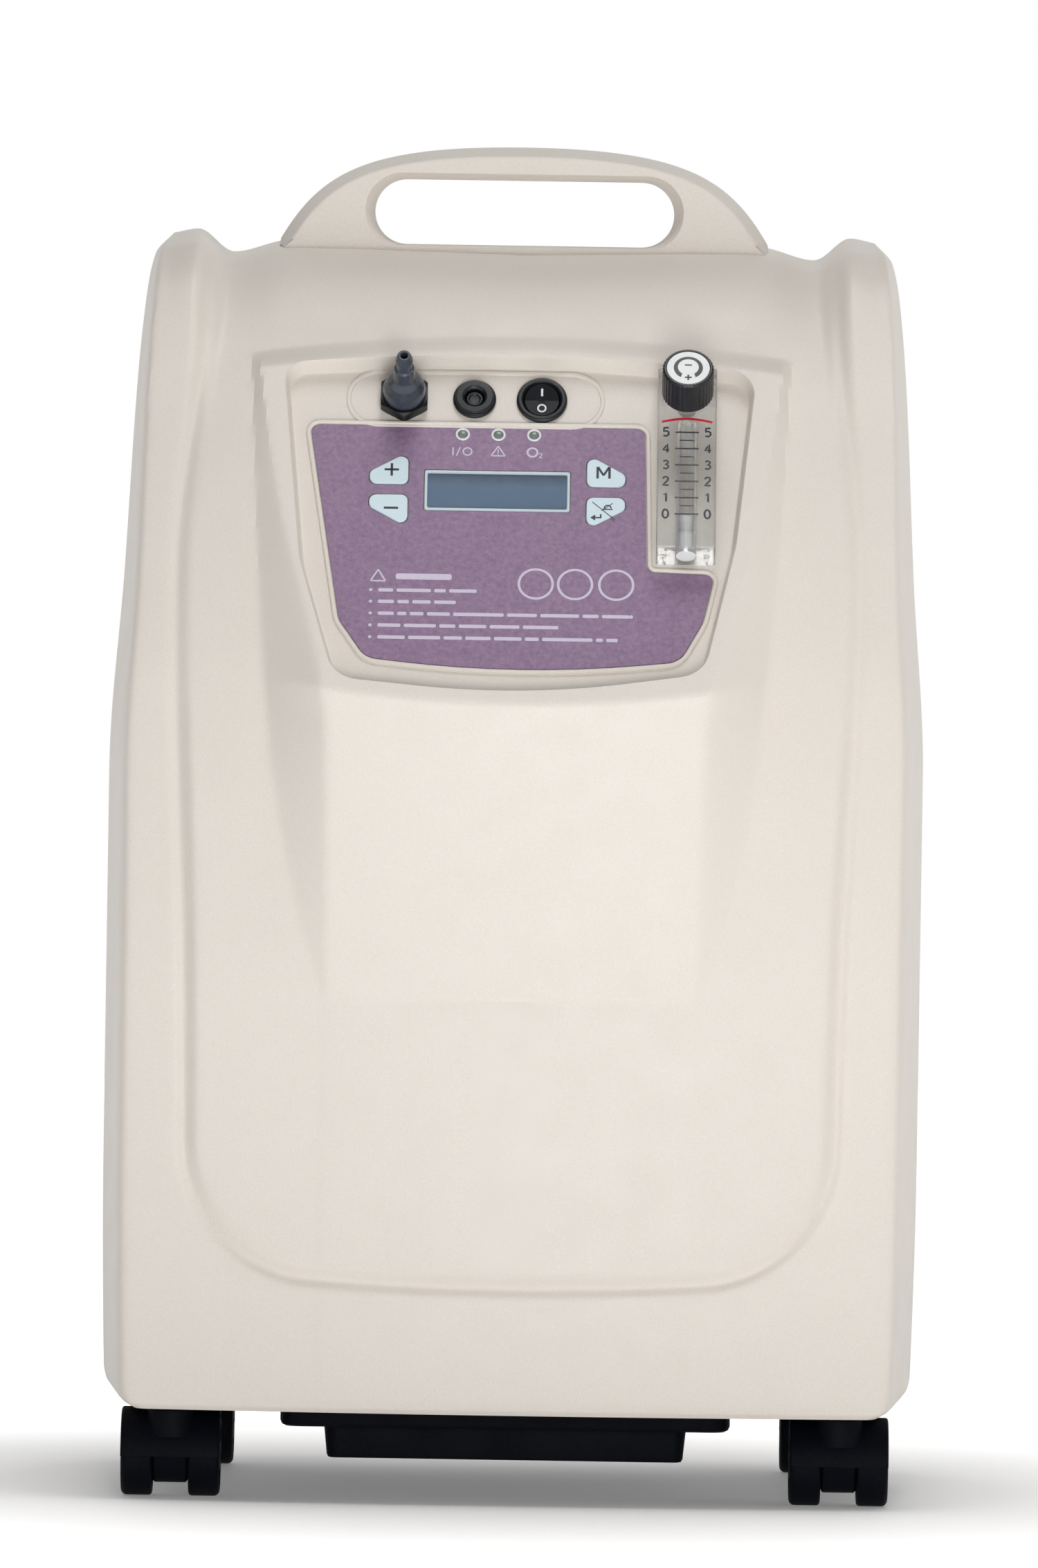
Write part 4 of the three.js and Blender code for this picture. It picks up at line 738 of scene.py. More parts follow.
def metal(name, colour, roughness, stretch=(1, 1, 1)):
    """Metal with fine drawn or machined marks and dulled patches."""
    finish = Finish(name, colour, roughness, Metallic=1.0)
    turn = finish.nodes.new("ShaderNodeMapping")
    turn.inputs["Scale"].default_value = stretch
    finish.links.new(finish.place, turn.inputs["Vector"])
    finish.place = turn.outputs["Vector"]
    marks = finish.noise(900, 3.0)
    finish.rough(finish.spread(marks, 0.3, 0.7, roughness - 0.08, roughness + 0.12))
    finish.bump(marks, 0.00001)
    return finish.material


def label_film():
    """Printed film: lilac with a fine mottled grain under a satin face."""
    finish = Finish("lilac_film", (0.258, 0.162, 0.275), 0.42)
    mottle = finish.spread(finish.noise(420, 5.0, 0.7), 0.35, 0.65, 0, 1)
    finish.colour(finish.blend(mottle, (0.205, 0.135, 0.235), (0.315, 0.195, 0.315)))
    finish.rough(finish.spread(finish.noise(90), 0.3, 0.7, 0.38, 0.48))
    finish.bump(finish.noise(2600, 2.0), 0.00001)
    return finish.material


def clear(name, colour, roughness=0.03):
    """Clear acrylic, with faint waves in its polish."""
    finish = Finish(name, colour, roughness, IOR=1.49)
    finish.shader.inputs["Transmission Weight"].default_value = 1.0
    finish.shader.inputs["Alpha"].default_value = 0.6
    finish.bump(finish.noise(60, 2.0), 0.00002, 0.3)
    finish.rough(finish.spread(finish.noise(200), 0.3, 0.7, roughness, roughness + 0.04))
    return finish.material


def screen():
    """The screen's glass: a grey-blue panel with painted shadow that darkens it towards its top,
    with fine cells.
    """
    low, high = 0.446, 0.454  # heights in metres between which the painted shadow darkens it
    finish = Finish("screen_glass", (0.10, 0.16, 0.24), 0.12)
    split = finish.nodes.new("ShaderNodeSeparateXYZ")
    finish.links.new(finish.place, split.inputs["Vector"])
    # painted shadow: the glass colour goes darker towards its top, standing in for the shadow of
    # the window's upper edge
    shade = finish.spread(split.outputs["Z"], low, high, 0, 1)
    finish.colour(finish.blend(shade, (0.125, 0.185, 0.27), (0.05, 0.06, 0.085)))
    finish.bump(finish.noise(1500, 1.0), 0.000003)
    finish.rough(finish.spread(finish.noise(300), 0.3, 0.7, 0.10, 0.16))
    return finish.material


def board_material():
    """Circuit board: green mask with a raised copper pattern beneath it."""
    finish = Finish("circuit_board", (0.03, 0.16, 0.07), 0.35)
    tracks = finish.cells(220)
    shade = finish.spread(tracks, 0.2, 0.35, 0, 1)
    finish.colour(finish.blend(shade, (0.02, 0.11, 0.05), (0.05, 0.22, 0.09)))
    finish.bump(tracks, 0.00005)
    return finish.material


def foam_material():
    """Open-cell foam: round pores, with painted shade darkening their middles."""
    finish = Finish("filter_foam", (0.035, 0.035, 0.037), 0.95)
    pores = finish.cells(650)
    # painted shade: darker towards the middle of each pore, where the bump makes a pit
    shade = finish.spread(pores, 0.1, 0.6, 0, 1)
    finish.colour(finish.blend(shade, (0.015, 0.015, 0.016), (0.06, 0.06, 0.062)))
    finish.bump(pores, 0.0006)
    return finish.material


CREAM = moulded("cream_plastic", (0.80, 0.745, 0.685), (0.735, 0.675, 0.61), 0.5)
BLACK = moulded("black_plastic", (0.009, 0.010, 0.013), (0.005, 0.006, 0.008), 0.34, grain=1800,
                Specular_IOR_Level=0.4)
NYLON = moulded("caster_nylon", (0.003, 0.004, 0.008), (0.0015, 0.002, 0.004), 0.6, grain=1500,
                Specular_IOR_Level=0.08)
SLATE = moulded("slate_plastic", (0.042, 0.055, 0.072), (0.034, 0.045, 0.060), 0.24, grain=900,
                height=0.00001)
PALE_KEY = moulded("pale_key", (0.68, 0.81, 0.86), (0.63, 0.77, 0.83), 0.38, grain=2200,
                   height=0.00001)
STEEL = metal("zinc_steel", (0.55, 0.56, 0.57), 0.38, (1, 1, 8))
ALUMINIUM = metal("cast_aluminium", (0.62, 0.63, 0.64), 0.45)
COPPER = metal("copper_tube", (0.72, 0.38, 0.22), 0.3)
RUBBER = moulded("black_rubber", (0.022, 0.022, 0.022), (0.014, 0.014, 0.014), 0.8, grain=900)
WHITE = moulded("white_plastic", (0.82, 0.83, 0.83), (0.78, 0.79, 0.79), 0.35)
INK_DARK, INK_PALE, INK_WHITE, INK_RED = [
    moulded(f"{tone}_print", light, dark, roughness, height=0.000005)
    for tone, light, dark, roughness in (
        ("dark", (0.03, 0.035, 0.05), (0.02, 0.025, 0.035), 0.45),
        ("pale", (0.66, 0.60, 0.72), (0.60, 0.54, 0.67), 0.45),
        ("white", (0.80, 0.84, 0.86), (0.75, 0.79, 0.82), 0.4),
        ("red", (0.75, 0.02, 0.04), (0.65, 0.015, 0.03), 0.4))
]
LABEL_FILM = label_film()
ACRYLIC = clear("clear_acrylic", (0.95, 0.97, 0.965))
BOARD_GREEN = board_material()
FOAM = foam_material()
DISPLAY_FRAME = moulded("display_frame", (0.60, 0.70, 0.74), (0.56, 0.66, 0.70), 0.4,
                        height=0.000005)
LENS = moulded("lamp_lens", (0.20, 0.24, 0.22), (0.17, 0.21, 0.19), 0.15, height=0.000003)
SCREEN = screen()


# ------------------------------------------------------------------ the cabinet
def grid_lines(counts, peaks_x, peaks_z):
    """A skin's shares of the half width, closer towards its edges by a sine, and its levels."""
    shares = spread(-1, 1, counts[0], peaks_x, lambda t: np.sin(t * math.pi / 2))
    return shares, spread(CABINET_BOTTOM, ROOF_Z, counts[1], peaks_z)


def cabinet_solid(facing):
    """A shell's solid: its outer skin closed behind, less the space inside it, which is carried
    on past the parting plane and the open bottom."""
    outer = closed_grid("outer_skin", shell_grid(facing, 0, *grid_lines(*OUTER_GRID[facing])))
    grid = shell_grid(facing, WALL, *grid_lines(*INNER_GRID))
    grid = np.pad(grid, ((1, 1), (1, 1), (0, 0)), mode="edge")
    grid[:, [0, -1], 1] = grid[-1, :, 1] = -facing * PAST_PARTING
    grid[0, :, 2] = CABINET_BOTTOM - PAST_BOTTOM
    return combined(outer, [("DIFFERENCE", closed_grid("inner_space", grid))])


def arch_curve(count=48):
    """The handle's outline: from a foot, up and over the top by the cubic curve
    (1-t)^3 a + 3t(1-t)^2 b + 3t^2(1-t) c + t^3 d, and down the same way."""
    a, b, c, d = HANDLE_CURVE
    t = np.linspace(0, 1, count)[:, None]
    curve = (1 - t) ** 3 * a + 3 * t * (1 - t) ** 2 * b + 3 * t**2 * (1 - t) * c + t**3 * d
    right = np.concatenate([[HANDLE_FOOT], curve])
    return np.concatenate([right, right[-2::-1] * [-1, 1]])


def handle_half(facing):
    """Half of the handle arch: its outline carried from the parting plane to the face, drawn in
    by a draft and then by a quarter round."""
    steps = list(HANDLE_SIDE)
    for u in np.linspace(0, math.pi / 2, 7)[1:]:
        depth = HANDLE_FACE - HANDLE_FILLET + HANDLE_FILLET * math.sin(u)
        steps.append((depth, HANDLE_DRAWN - HANDLE_FILLET * (1 - math.cos(u))))
    loop = arch_curve()
    return loft("handle_half", along_y((grown(loop, by), facing * depth) for depth, by in steps))


def grip_cutter():
    """The hand opening: a long round slot flared towards both faces, by all of the flare along it,
    0.55 of it downwards and 0.5 upwards."""
    rings = []
    for depth, flare in GRIP_FLARE:
        low, high = GRIP_LOW - 0.55 * flare, GRIP_HIGH + 0.5 * flare
        slot = box_loop(2 * (GRIP_HALF + flare), high - low, (high - low) / 2 - 0.01, 0,
                        (low + high) / 2, 12, 10)
        rings.append(ring_at(slot, depth))
    rings += [ring * [1, -1, 1] for ring in rings[-2::-1]]
    return loft("grip", rings)


def recess_cutter():
    """The control recess: a floor with a small fillet, drafted walls and a rounded mouth."""
    loop = outline(RECESS, 10, 10)
    return console_loft("recess", [(grown(loop, by), depth) for depth, by in RECESS_WALL])


def ridge(name, loop, width, height):
    """A closed bead on the recess floor: a half-round section carried round a loop."""
    rings = along_y((grown(loop, across * width), FLOOR - up * height) for across, up in BEAD)
    return loft_ring(name, console_points(rings))


def key_loop(key, grow=0.0):
    """A key's outline: four rounded corners, the outer one cut back by three eighths."""
    x, level, out, up = KEYS[key]
    half, tall = KEY_HALF + grow, KEY_TALL + grow
    corners = [(-half, tall, 3.2), (-half, -tall, 3.0), (half, -tall, 3.4), (half, -tall / 4, 3.4)]
    placed = [(x + out * a, level + up * b, r) for a, b, r in corners]
    return outline(placed if out * up > 0 else placed[::-1], 8, 4)


def display_loop(grow=0.0):
    """The display's outline, larger by grow."""
    return box_loop(DISPLAY_WIDTH + grow, DISPLAY_HEIGHT + grow, 1, DISPLAY_X, DISPLAY_LEVEL)


def front_shell():
    """The front: its solid with the handle's half, the hand opening, the recess, two beads and a
    pit for each fitting."""
    shell = cabinet_solid(FRONT)
    rim = grown(outline(LABEL, 8, 4), 1.4)
    oval = box_loop(112, 28, 13.9, -20.0, FITTING_LEVEL, 16)
    tools = [
        ("UNION", handle_half(FRONT)), ("DIFFERENCE", grip_cutter()),
        ("DIFFERENCE", recess_cutter()), ("UNION", ridge("label_rim", rim, 2.2, 1.5)),
        ("UNION", ridge("fittings_oval", oval, 2.0, 1.1)),
    ]
    holes = [(NOZZLE_HOLE_R, NOZZLE_X, FITTING_LEVEL), (BREAKER_HOLE_R, BREAKER_X, FITTING_LEVEL),
             (SWITCH_HOLE_R, SWITCH_X, FITTING_LEVEL)]
    holes += [(LED_HOLE_R, x, LED_LEVEL) for x in LED_X]
    holes += [(4.3, METER_X, level) for level in SPIGOT_LEVELS]
    pits = [(disc_loop(*hole), THROUGH) for hole in holes]
    pits.append((display_loop(0.6), FLOOR + 2.4))
    pits += [(key_loop(key, 0.4), FLOOR + 2.8) for key in KEYS]
    for i, (loop, depth) in enumerate(pits):
        pit = console_loft(f"pit_{i}", [(loop, FLOOR - 0.5), (loop, depth)])
        tools.append(("DIFFERENCE", pit))
    combined(shell, tools)
    shell.name = "front_cabinet"
    finish_piece(shaded(shell), CREAM, "cabinet", ["front_shell"])


def middle_of(node):
    """The middle of a CAD node's box."""
    low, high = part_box(node)
    return (np.array(low) + np.array(high)) / 2 / MM


def rear_shell():
    """The rear: its solid with the handle's half, the hand opening and two openings behind."""
    shell = cabinet_solid(REAR)
    filter_loop = box_loop(150, 112, 6, 0, middle_of("filter_frame")[2])
    inlet_x, _, inlet_z = middle_of("power_inlet")
    inlet_loop = box_loop(28.1, 21.6, 0.05, inlet_x, inlet_z)
    filter_hole = loft("filter_hole", along_y([
        (filter_loop, BACK - 20), (filter_loop, BACK - 0.8), (grown(filter_loop, 0.9), BACK + 0.1),
        (grown(filter_loop, 1.2), BACK + 5)]))
    inlet_hole = loft("inlet_hole", along_y([(inlet_loop, BACK - 20), (inlet_loop, BACK + 5)]))
    combined(shell, [("UNION", handle_half(REAR)), ("DIFFERENCE", grip_cutter()),
                     ("DIFFERENCE", filter_hole), ("DIFFERENCE", inlet_hole)])
    shell.name = "rear_cabinet"
    finish_piece(shaded(shell), CREAM, "cabinet", ["rear_shell"])


# ------------------------------------------------------------------ label, screen and keys
FACE = standing(0, 0, 0)  # print on the console: its heights count from the face itself


def label():
    """The label: a thin film with a rounded edge, open over the screen, lamps and keys."""
    levels = rounded_levels(outline(LABEL, 8, 8), LABEL_BACK, LABEL_FRONT, 0.15, 2)
    film = console_loft("label", levels)
    holes = [display_loop(0.6)] + [disc_loop(LED_HOLE_R, x, LED_LEVEL) for x in LED_X]
    holes += [key_loop(key, 0.4) for key in KEYS]
    combined(film, [("DIFFERENCE", console_loft(f"hole_{i}", [(loop, 3), (loop, 12)]))
                    for i, loop in enumerate(holes)])
    film.name = "label_film"
    finish_piece(shaded(film), LABEL_FILM, "cabinet", ["control_label"])


def digit_stroke(digit, tall, x, level, width):
    """A digit of the given height, drawn from its lower left corner."""
    return stroke(np.array(DIGITS[digit]) * tall + (x, level), width)


def label_print():
    """Plain bars and rings in place of the printed notice, and a mark under each lamp."""
    shapes = [bar(-53.5, -29, 68.0, 3.0)]
    shapes += side_strokes([(-64.5, 65.6), (-58.0, 65.6), (-61.2, 71.4)], 0.7)
    for level, right, lengths in PRINT_ROWS:
        shapes.append(disc_loop(0.75, NOTICE_LEFT, level, 16))
        start = NOTICE_START
        for length in lengths:
            stop = min(start + length, right)
            shapes.append(bar(start, stop, level, 1.7))
            start = stop + NOTICE_GAP
    shapes += [stroke(arc(PRINT_RING_R, 0, 360, 60, x, PRINT_RING_LEVEL), 1.1)
               for x in PRINT_RING_X]
    power, alarm, oxygen = LED_X
    level = SIGN_LEVEL
    shapes += [stroke([(power - 4.2, level - 2), (power - 4.2, level + 2)], 0.6),
               stroke([(power - 2.6, level - 2.2), (power - 1.0, level + 2.2)], 0.5),
               stroke(arc(1.9, 0, 360, 28, power + 2.2, level), 0.6)]
    shapes += side_strokes(np.array([(-3.1, -2), (3.1, -2), (0, 2.9)]) + (alarm, level), 0.6)
    shapes += [stroke([(alarm, level - 0.5), (alarm, level + 1.2)], 0.5),
               disc_loop(0.3, alarm, level - 1.2, 10),
               stroke(arc(2.2, 0, 360, 30, oxygen - 0.6, level), 0.85),
               digit_stroke(2, 2.2, oxygen + 2.4, level - 2.6, 0.4)]
    piece = prisms("label_print", shapes, -LABEL_FRONT - 0.1, -LABEL_FRONT + 0.03, FACE)
    finish_piece(piece, INK_PALE, "cabinet")


def display():
    """The screen: a pale frame whose inner edge slopes down to a sunken window."""
    outer, inner = display_loop(), display_loop(-2.6)
    front, back = LABEL_FRONT - 0.15, FLOOR + 2.1
    rings = along_y([
        (outer, back), (outer, front + 0.4), (grown(outer, -0.12), front + 0.12),
        (grown(outer, -0.4), front), (grown(inner, 0.3), front), (grown(inner, 0.08), front + 0.08),
        (inner, front + 0.3), (inner, back),
    ])
    surround = shaded(loft_ring("display_surround", console_points(rings)))
    finish_piece(surround, DISPLAY_FRAME, "cabinet", ["display_window"])
    window = grown(inner, -0.02)
    pane = console_loft("display_glass", [(window, back), (window, front + 0.95)])
    finish_piece(shaded(pane), SCREEN, "cabinet")


def lamps():
    """The lamps: a domed lens in a round bead each."""
    lens = [(0, -10), (2.1, -10), (2.1, 0.75), (2.0, 0.98), (1.7, 1.2), (1.2, 1.38), (0.6, 1.46),
            (0, 1.5)]
    bead = [(2.15, 0.8), (3.2, 0.8), (3.15, 1.15), (2.9, 1.35), (2.5, 1.35), (2.2, 1.1)]
    for name, x in zip(("power", "alarm", "oxygen"), LED_X):
        place = standing(x, LED_LEVEL)
        dome = turned(f"lamp_lens_{name}", lens, place, 40)
        finish_piece(shaded(dome), LENS, "cabinet", [f"indicator_{name}"])
        ring = turned(f"lamp_ring_{name}", bead, place, 48)
        finish_piece(shaded(ring, 60), WHITE, "cabinet")


def keys():
    """The keys: a cap with a rounded edge and a printed mark each."""
    front = LABEL_FRONT - 0.7
    marks = {
        "plus": [bar(-3.2, 3.2, 0, 1.1), stroke([(0, -3.2), (0, 3.2)], 1.1)],
        "minus": [bar(-3.2, 3.2, 0, 1.1)],
        "mode": [
            stroke([(-2.6, -3.0), (-2.6, 2.9)], 1.1), stroke([(2.6, -3.0), (2.6, 2.9)], 1.1),
            stroke([(-2.5, 2.9), (0, -1.4)], 1.0), stroke([(2.5, 2.9), (0, -1.4)], 1.0),
        ],
        "mute": [
            stroke([(-4.8, 4.6), (5.2, -4.4)], 0.4), stroke([(-1.0, -1.6), (-1.0, -3.4)], 0.7),
            stroke([(-0.7, -3.4), (-3.6, -3.4)], 0.7),
            np.array([(-5.6, -3.4), (-3.4, -4.9), (-3.4, -1.9)]),
            stroke(arc(1.5, 0, 180, 16, 2.0, 1.4), 0.6), bar(-0.2, 4.2, 0.9, 0.6),
            stroke([(-0.6, 0.2), (4.2, 4.0)], 0.4),
        ],
    }
    for key, (x, level, out, up) in KEYS.items():
        levels = rounded_levels(key_loop(key), front + 2.2, front, 0.5)
        cap = shaded(console_loft(f"key_cap_{key}", levels), 40)
        finish_piece(cap, PALE_KEY, f"key_{key}", [f"key_{key}"])
        place = standing(x - 1.2 * out, level - 1.2 * up, 0)
        mark = prisms(f"key_mark_{key}", marks[key], -front - 0.1, -front + 0.02, place)
        finish_piece(mark, INK_DARK, f"key_{key}")


# ------------------------------------------------------------------ round fittings
def outlet():
    """The outlet: a hex nut with coned corners, whose corners lie across_flats / sqrt 3 from its
    middle, and a stepped hose barb with a bore."""
    across_flats = 20.6
    place = standing(NOZZLE_X, FITTING_LEVEL)
    angles = np.arange(6) * math.pi / 3 + math.pi / 6
    reach = across_flats / math.sqrt(3)
    loop = outline([(reach * math.cos(t), reach * math.sin(t), 0.5) for t in angles], 3, 5)
    nut = loft("nut", place(stacked(loop, [(GAP, 0), (5.8, 0)])))
    cone = turned("cone", [(0, -1), (10.6, -1), (10.6, 0.2), (12.2, 1.2), (12.2, 4.7), (10.1, 6),
                           (0, 6)], place, 96)
    bore = turned("bore", [(0, -2), (5.3, -2), (5.3, 8), (0, 8)], place, 48)
    combined(nut, [("INTERSECT", cone), ("DIFFERENCE", bore)])
    nut.name = "outlet_lock_nut"
    finish_piece(shaded(nut, 20), BLACK, "cabinet", ["outlet_nut"])
    profile = arcs([
        (1.6, -24), (5, -24, 0.4), (5, 6.1, 0.1), (9.4, 6.1, 0.3), (9.4, 8.6, 0.8), (8.9, 12.0, 3),
        (7.2, 16.2, 3), (5.0, 19.4, 1.5), (4.4, 26.4, 0.5), (3.5, 27.2, 0.3), (3.3, 32.6, 0.5),
        (3.9, 33.1, 0.15), (3.8, 34.0, 0.3), (2.9, 37, 0.3), (1.7, 37, 0.1), (1.6, 36.6),
    ])
    barb = turned("outlet_barb", profile, place, 72)
    finish_piece(shaded(barb, 32), SLATE, "cabinet", ["outlet_nozzle"])


def bezel(name, profile, x, node):
    """A round black rim on the row of fittings."""
    piece = turned(name, arcs(profile), standing(x, FITTING_LEVEL), 96)
    finish_piece(shaded(piece, 32), BLACK, "cabinet", [node])


def valley(b):
    """Height of the rocker's top: a shallow valley across its middle."""
    return 1.4 + 0.8 * np.clip(np.abs(b) / 7.5, 0, 1)


def dished(points):
    """Lowers the top of a cap to the valley."""
    a, b, h = np.moveaxis(points, -1, 0)
    return np.stack([a, b, np.where(h > 1.0, np.minimum(h + 0.6, valley(b)), h)], -1)


def breaker_and_switch():
    """The breaker's rim and dished button, and the switch's rim, rocker and its two marks."""
    bezel("breaker_rim", [
        (0, -20), (6, -20, 0.3), (6, 0.3, 0.1), (9.5, 0.3, 0.3), (9.5, 1.8, 0.5), (8.6, 2.2, 0.4),
        (8.3, 3.6, 0.6), (5.4, 3.6, 0.5), (4.4, 2.6, 0.4), (4.4, -16), (0, -16),
    ], BREAKER_X, "breaker_bezel")
    profile = arcs([
        (0, -15), (4, -15), (4, 1.4, 0.8), (2.6, 1.4, 0.5), (2.2, 1.0, 0.5), (0, 1.0),
    ])
    cap = turned("reset_cap", profile, standing(BREAKER_X, FITTING_LEVEL), 64)
    finish_piece(shaded(cap, 40), BLACK, "reset_button", ["breaker_button"])
    bezel("switch_rim", [
        (0, -14), (9.4, -14, 0.3), (9.4, 0.3, 0.1), (11.2, 0.3, 0.2), (11.2, 1.4, 0.5),
        (10.4, 2.2, 0.8), (9.0, 2.2, 0.5), (8.1, 1.2, 0.5), (8.1, -10), (0, -10),
    ], SWITCH_X, "switch_bezel")
    place = standing(SWITCH_X, FITTING_LEVEL, FLOOR, -ROCKER_REST)
    profile = arcs([
        (0, -2.2), (6, -2.2), (7.5, -1.4, 0.6), (7.5, 2.0, 0.5), (6.4, 2.2, 0.5), (4.3, 2.0),
        (2.1, 1.6), (0, 1.3),
    ])
    rocker = turned("rocker_cap", profile, lambda points: place(dished(points)), 72)
    finish_piece(shaded(rocker, 40), BLACK, "rocker", ["switch_rocker"])
    line = stroke([(0, 1.9), (0, 5.3)], 0.9)
    ring = stroke(arc(1.7, 0, 360, 32, 0, -3.9), 0.7)
    for name, shape in (("rocker_mark_on", line), ("rocker_mark_off", ring)):
        mark = prisms(name, [shape], -0.3, 0.06,
                      lambda points: place(points + [0, 0, 1] * valley(points[:, 1:2])))
        finish_piece(mark, INK_WHITE, "rocker")


# ------------------------------------------------------------------ flowmeter
DIGITS = {
    0: arc(0.5, 90, 450, 28, 0.3, 0.5, 0.58),
    1: [(0.12, 0.78), (0.36, 1), (0.36, 0.5), (0.36, 0)],
    2: [(0.03, 0.75), (0.12, 0.94), (0.3, 1), (0.5, 0.92), (0.56, 0.72), (0.45, 0.5),
        (0.2, 0.22), (0.02, 0), (0.3, 0), (0.6, 0)],
    3: [(0.04, 0.88), (0.28, 1), (0.52, 0.86), (0.5, 0.64), (0.26, 0.53), (0.52, 0.42),
        (0.57, 0.2), (0.33, 0), (0.02, 0.1)],
    4: [(0.62, 0.3), (0.3, 0.3), (0.0, 0.3), (0.22, 0.65), (0.44, 1), (0.44, 0.5), (0.44, 0)],
    5: [(0.55, 1), (0.3, 1), (0.1, 1), (0.07, 0.78), (0.06, 0.56), (0.3, 0.64), (0.54, 0.5),
        (0.56, 0.22), (0.34, 0), (0.03, 0.08)],
}


def upright(points):
    """Places points whose third number runs up the flowmeter's bore from its lower end."""
    a, b, h = np.moveaxis(np.asarray(points, float), -1, 0)
    return console_points(np.stack([METER_X + a, METER_AXIS + b, METER_BOTTOM + h], -1))


def flowmeter():
    """A clear block on two spigots with a bore, a bottom plug and a float."""
    corners = [(-METER_HALF, -8, 1.6), (METER_HALF, -8, 1.6), (METER_HALF, 8, 0.8),
               (-METER_HALF, 8, 0.8)]
    tall = METER_TOP - METER_BOTTOM
    levels = [(0, -0.6), (0.6, 0), (tall - 0.8, 0), (tall, -0.8)]
    block = loft("meter_block", upright(stacked(outline(corners, 4, 3), levels)))
    tools = [("UNION", turned(f"spigot_{i}", [(0, -19), (4, -19), (4, 1), (0, 1)],
                              standing(METER_X, level, LABEL_BACK), 32))
             for i, level in enumerate(SPIGOT_LEVELS)]
    bore = [(0, -1), (4.6, -1), (4.6, 62), (4.0, 66.4), (0, 67)]
    tools.append(("DIFFERENCE", turned("meter_bore", bore, upright, 48)))
    stem = standing(METER_X, KNOB_LEVEL, METER_FRONT, KNOB_LEAN)
    hole = turned("valve_hole", [(0, -7), (3.4, -7), (3.4, 5), (0, 5)], stem, 32)
    tools.append(("DIFFERENCE", hole))
    combined(block, tools)
    block.name = "meter_block"
    finish_piece(shaded(block, 30), ACRYLIC, "cabinet", ["flowmeter_body"])
    plug = turned("meter_plug", arcs([(0, 0), (4.3, 0, 0.3), (4.3, 10, 0.8), (0, 10)]), upright, 40)
    finish_piece(shaded(plug, 40), WHITE, "cabinet", ["flowmeter_plug"])
    body = arcs([(0, 10.3), (1.6, 10.3, 0.4), (2.6, 12.4, 0.6), (2.6, 16, 0.4), (3.6, 17.6, 0.3),
                 (3.6, 19.3, 0.3), (0, 19.3)])
    bob = turned("meter_float", body, upright, 40)
    finish_piece(shaded(bob, 40), WHITE, "float", ["flowmeter_float"])


def meter_scale():
    """The scale: a long bar and two digits at each step, a short bar between, and a red arc."""
    ink = []
    for half_step in range(SCALE_COUNT):
        level = SCALE_ZERO + SCALE_STEP * half_step / 2
        if half_step % 2:
            ink.append(bar(-3.2, 3.2, level, 0.5))
            continue
        ink.append(bar(-5.2, 5.2, level, 0.7))
        for side in (-1, 1):
            ink.append(digit_stroke(half_step // 2, 4.3, side * 9.2 - 1.3, level - 2.1, 0.85))
    bow = np.linspace(-1.5, 1.5, 24)
    red = [stroke(np.column_stack([bow * 7.4, 139.6 + 1.8 * np.cos(bow)]), 1.1)]
    place = standing(METER_X, 0, METER_FRONT)
    for name, shapes, material in (("meter_scale", ink, INK_DARK), ("meter_limit", red, INK_RED)):
        finish_piece(prisms(name, shapes, 0.0, 0.05, place), material, "cabinet")


def knob():
    """The valve knob: fine ribs round a black cap, with a pale disc let into its face. The ribs
    draw the radius in by 2.2 % times (1/2 - 1/2 cos 36 turn)^0.7."""
    place = standing(METER_X, KNOB_LEVEL, METER_FRONT, KNOB_LEAN)
    foot, top = KNOB_FOOT, KNOB_FOOT + KNOB_TALL
    profile = arcs([
        (0, -6), (3, -6), (3, foot), (KNOB_R - 0.9, foot, 0.4), (KNOB_R, foot + 1.2, 0.4),
        (KNOB_R, foot + 2.4), (KNOB_R, foot + 6), (KNOB_R, foot + 10), (KNOB_R, top - 2.4),
        (KNOB_R, top - 0.9, 0.5), (KNOB_R - 0.8, top, 0.4), (KNOB_R - 1.6, top, 0.2),
        (KNOB_R - 1.7, top - 0.5), (0, top - 0.5),
    ], 4)

    def ribs(radius, turn):
        return 1 - 0.022 * (radius > KNOB_R - 0.2) * (0.5 - 0.5 * np.cos(36 * turn)) ** 0.7

    cap = turned("knob_cap", profile, place, 288, ribs)
    finish_piece(shaded(cap, 40), BLACK, "knob", ["flowmeter_knob"])
    disc_r = KNOB_R - 1.9
    face = arcs([(0, top - 0.55), (disc_r, top - 0.55), (disc_r, top - 0.1, 0.1), (0, top - 0.1)])
    disc = turned("knob_disc", face, place, 72)
    finish_piece(shaded(disc, 40), WHITE, "knob")
    outer, inner = arc(6.4, -60, 240, 36), arc(4.6, 235, -55, 36, 0, 0.4)
    marks = [np.concatenate([outer, inner]), bar(-1.6, 1.6, 1.6, 0.8), bar(-1.6, 1.6, -5.6, 0.8),
             np.array([(-0.4, -7.2), (0.4, -7.2), (0.4, -4.0), (-0.4, -4.0)])]
    print_ = prisms("knob_marks", marks, top - 0.12, top - 0.06, place)
    finish_piece(print_, INK_DARK, "knob")


# ------------------------------------------------------------------ casters and outlet box
def axle_frame(place, side=1):
    """Points whose third number runs along a caster's axle, in the cabinet's frame."""
    sx, sy = CORNERS[place]

    def put(points):
        a, b, h = np.moveaxis(np.asarray(points, float), -1, 0)
        return np.stack([sx * CASTER_X + side * h, sy * CASTER_Y + TRAIL + a, WHEEL_R + b], -1)

    return put


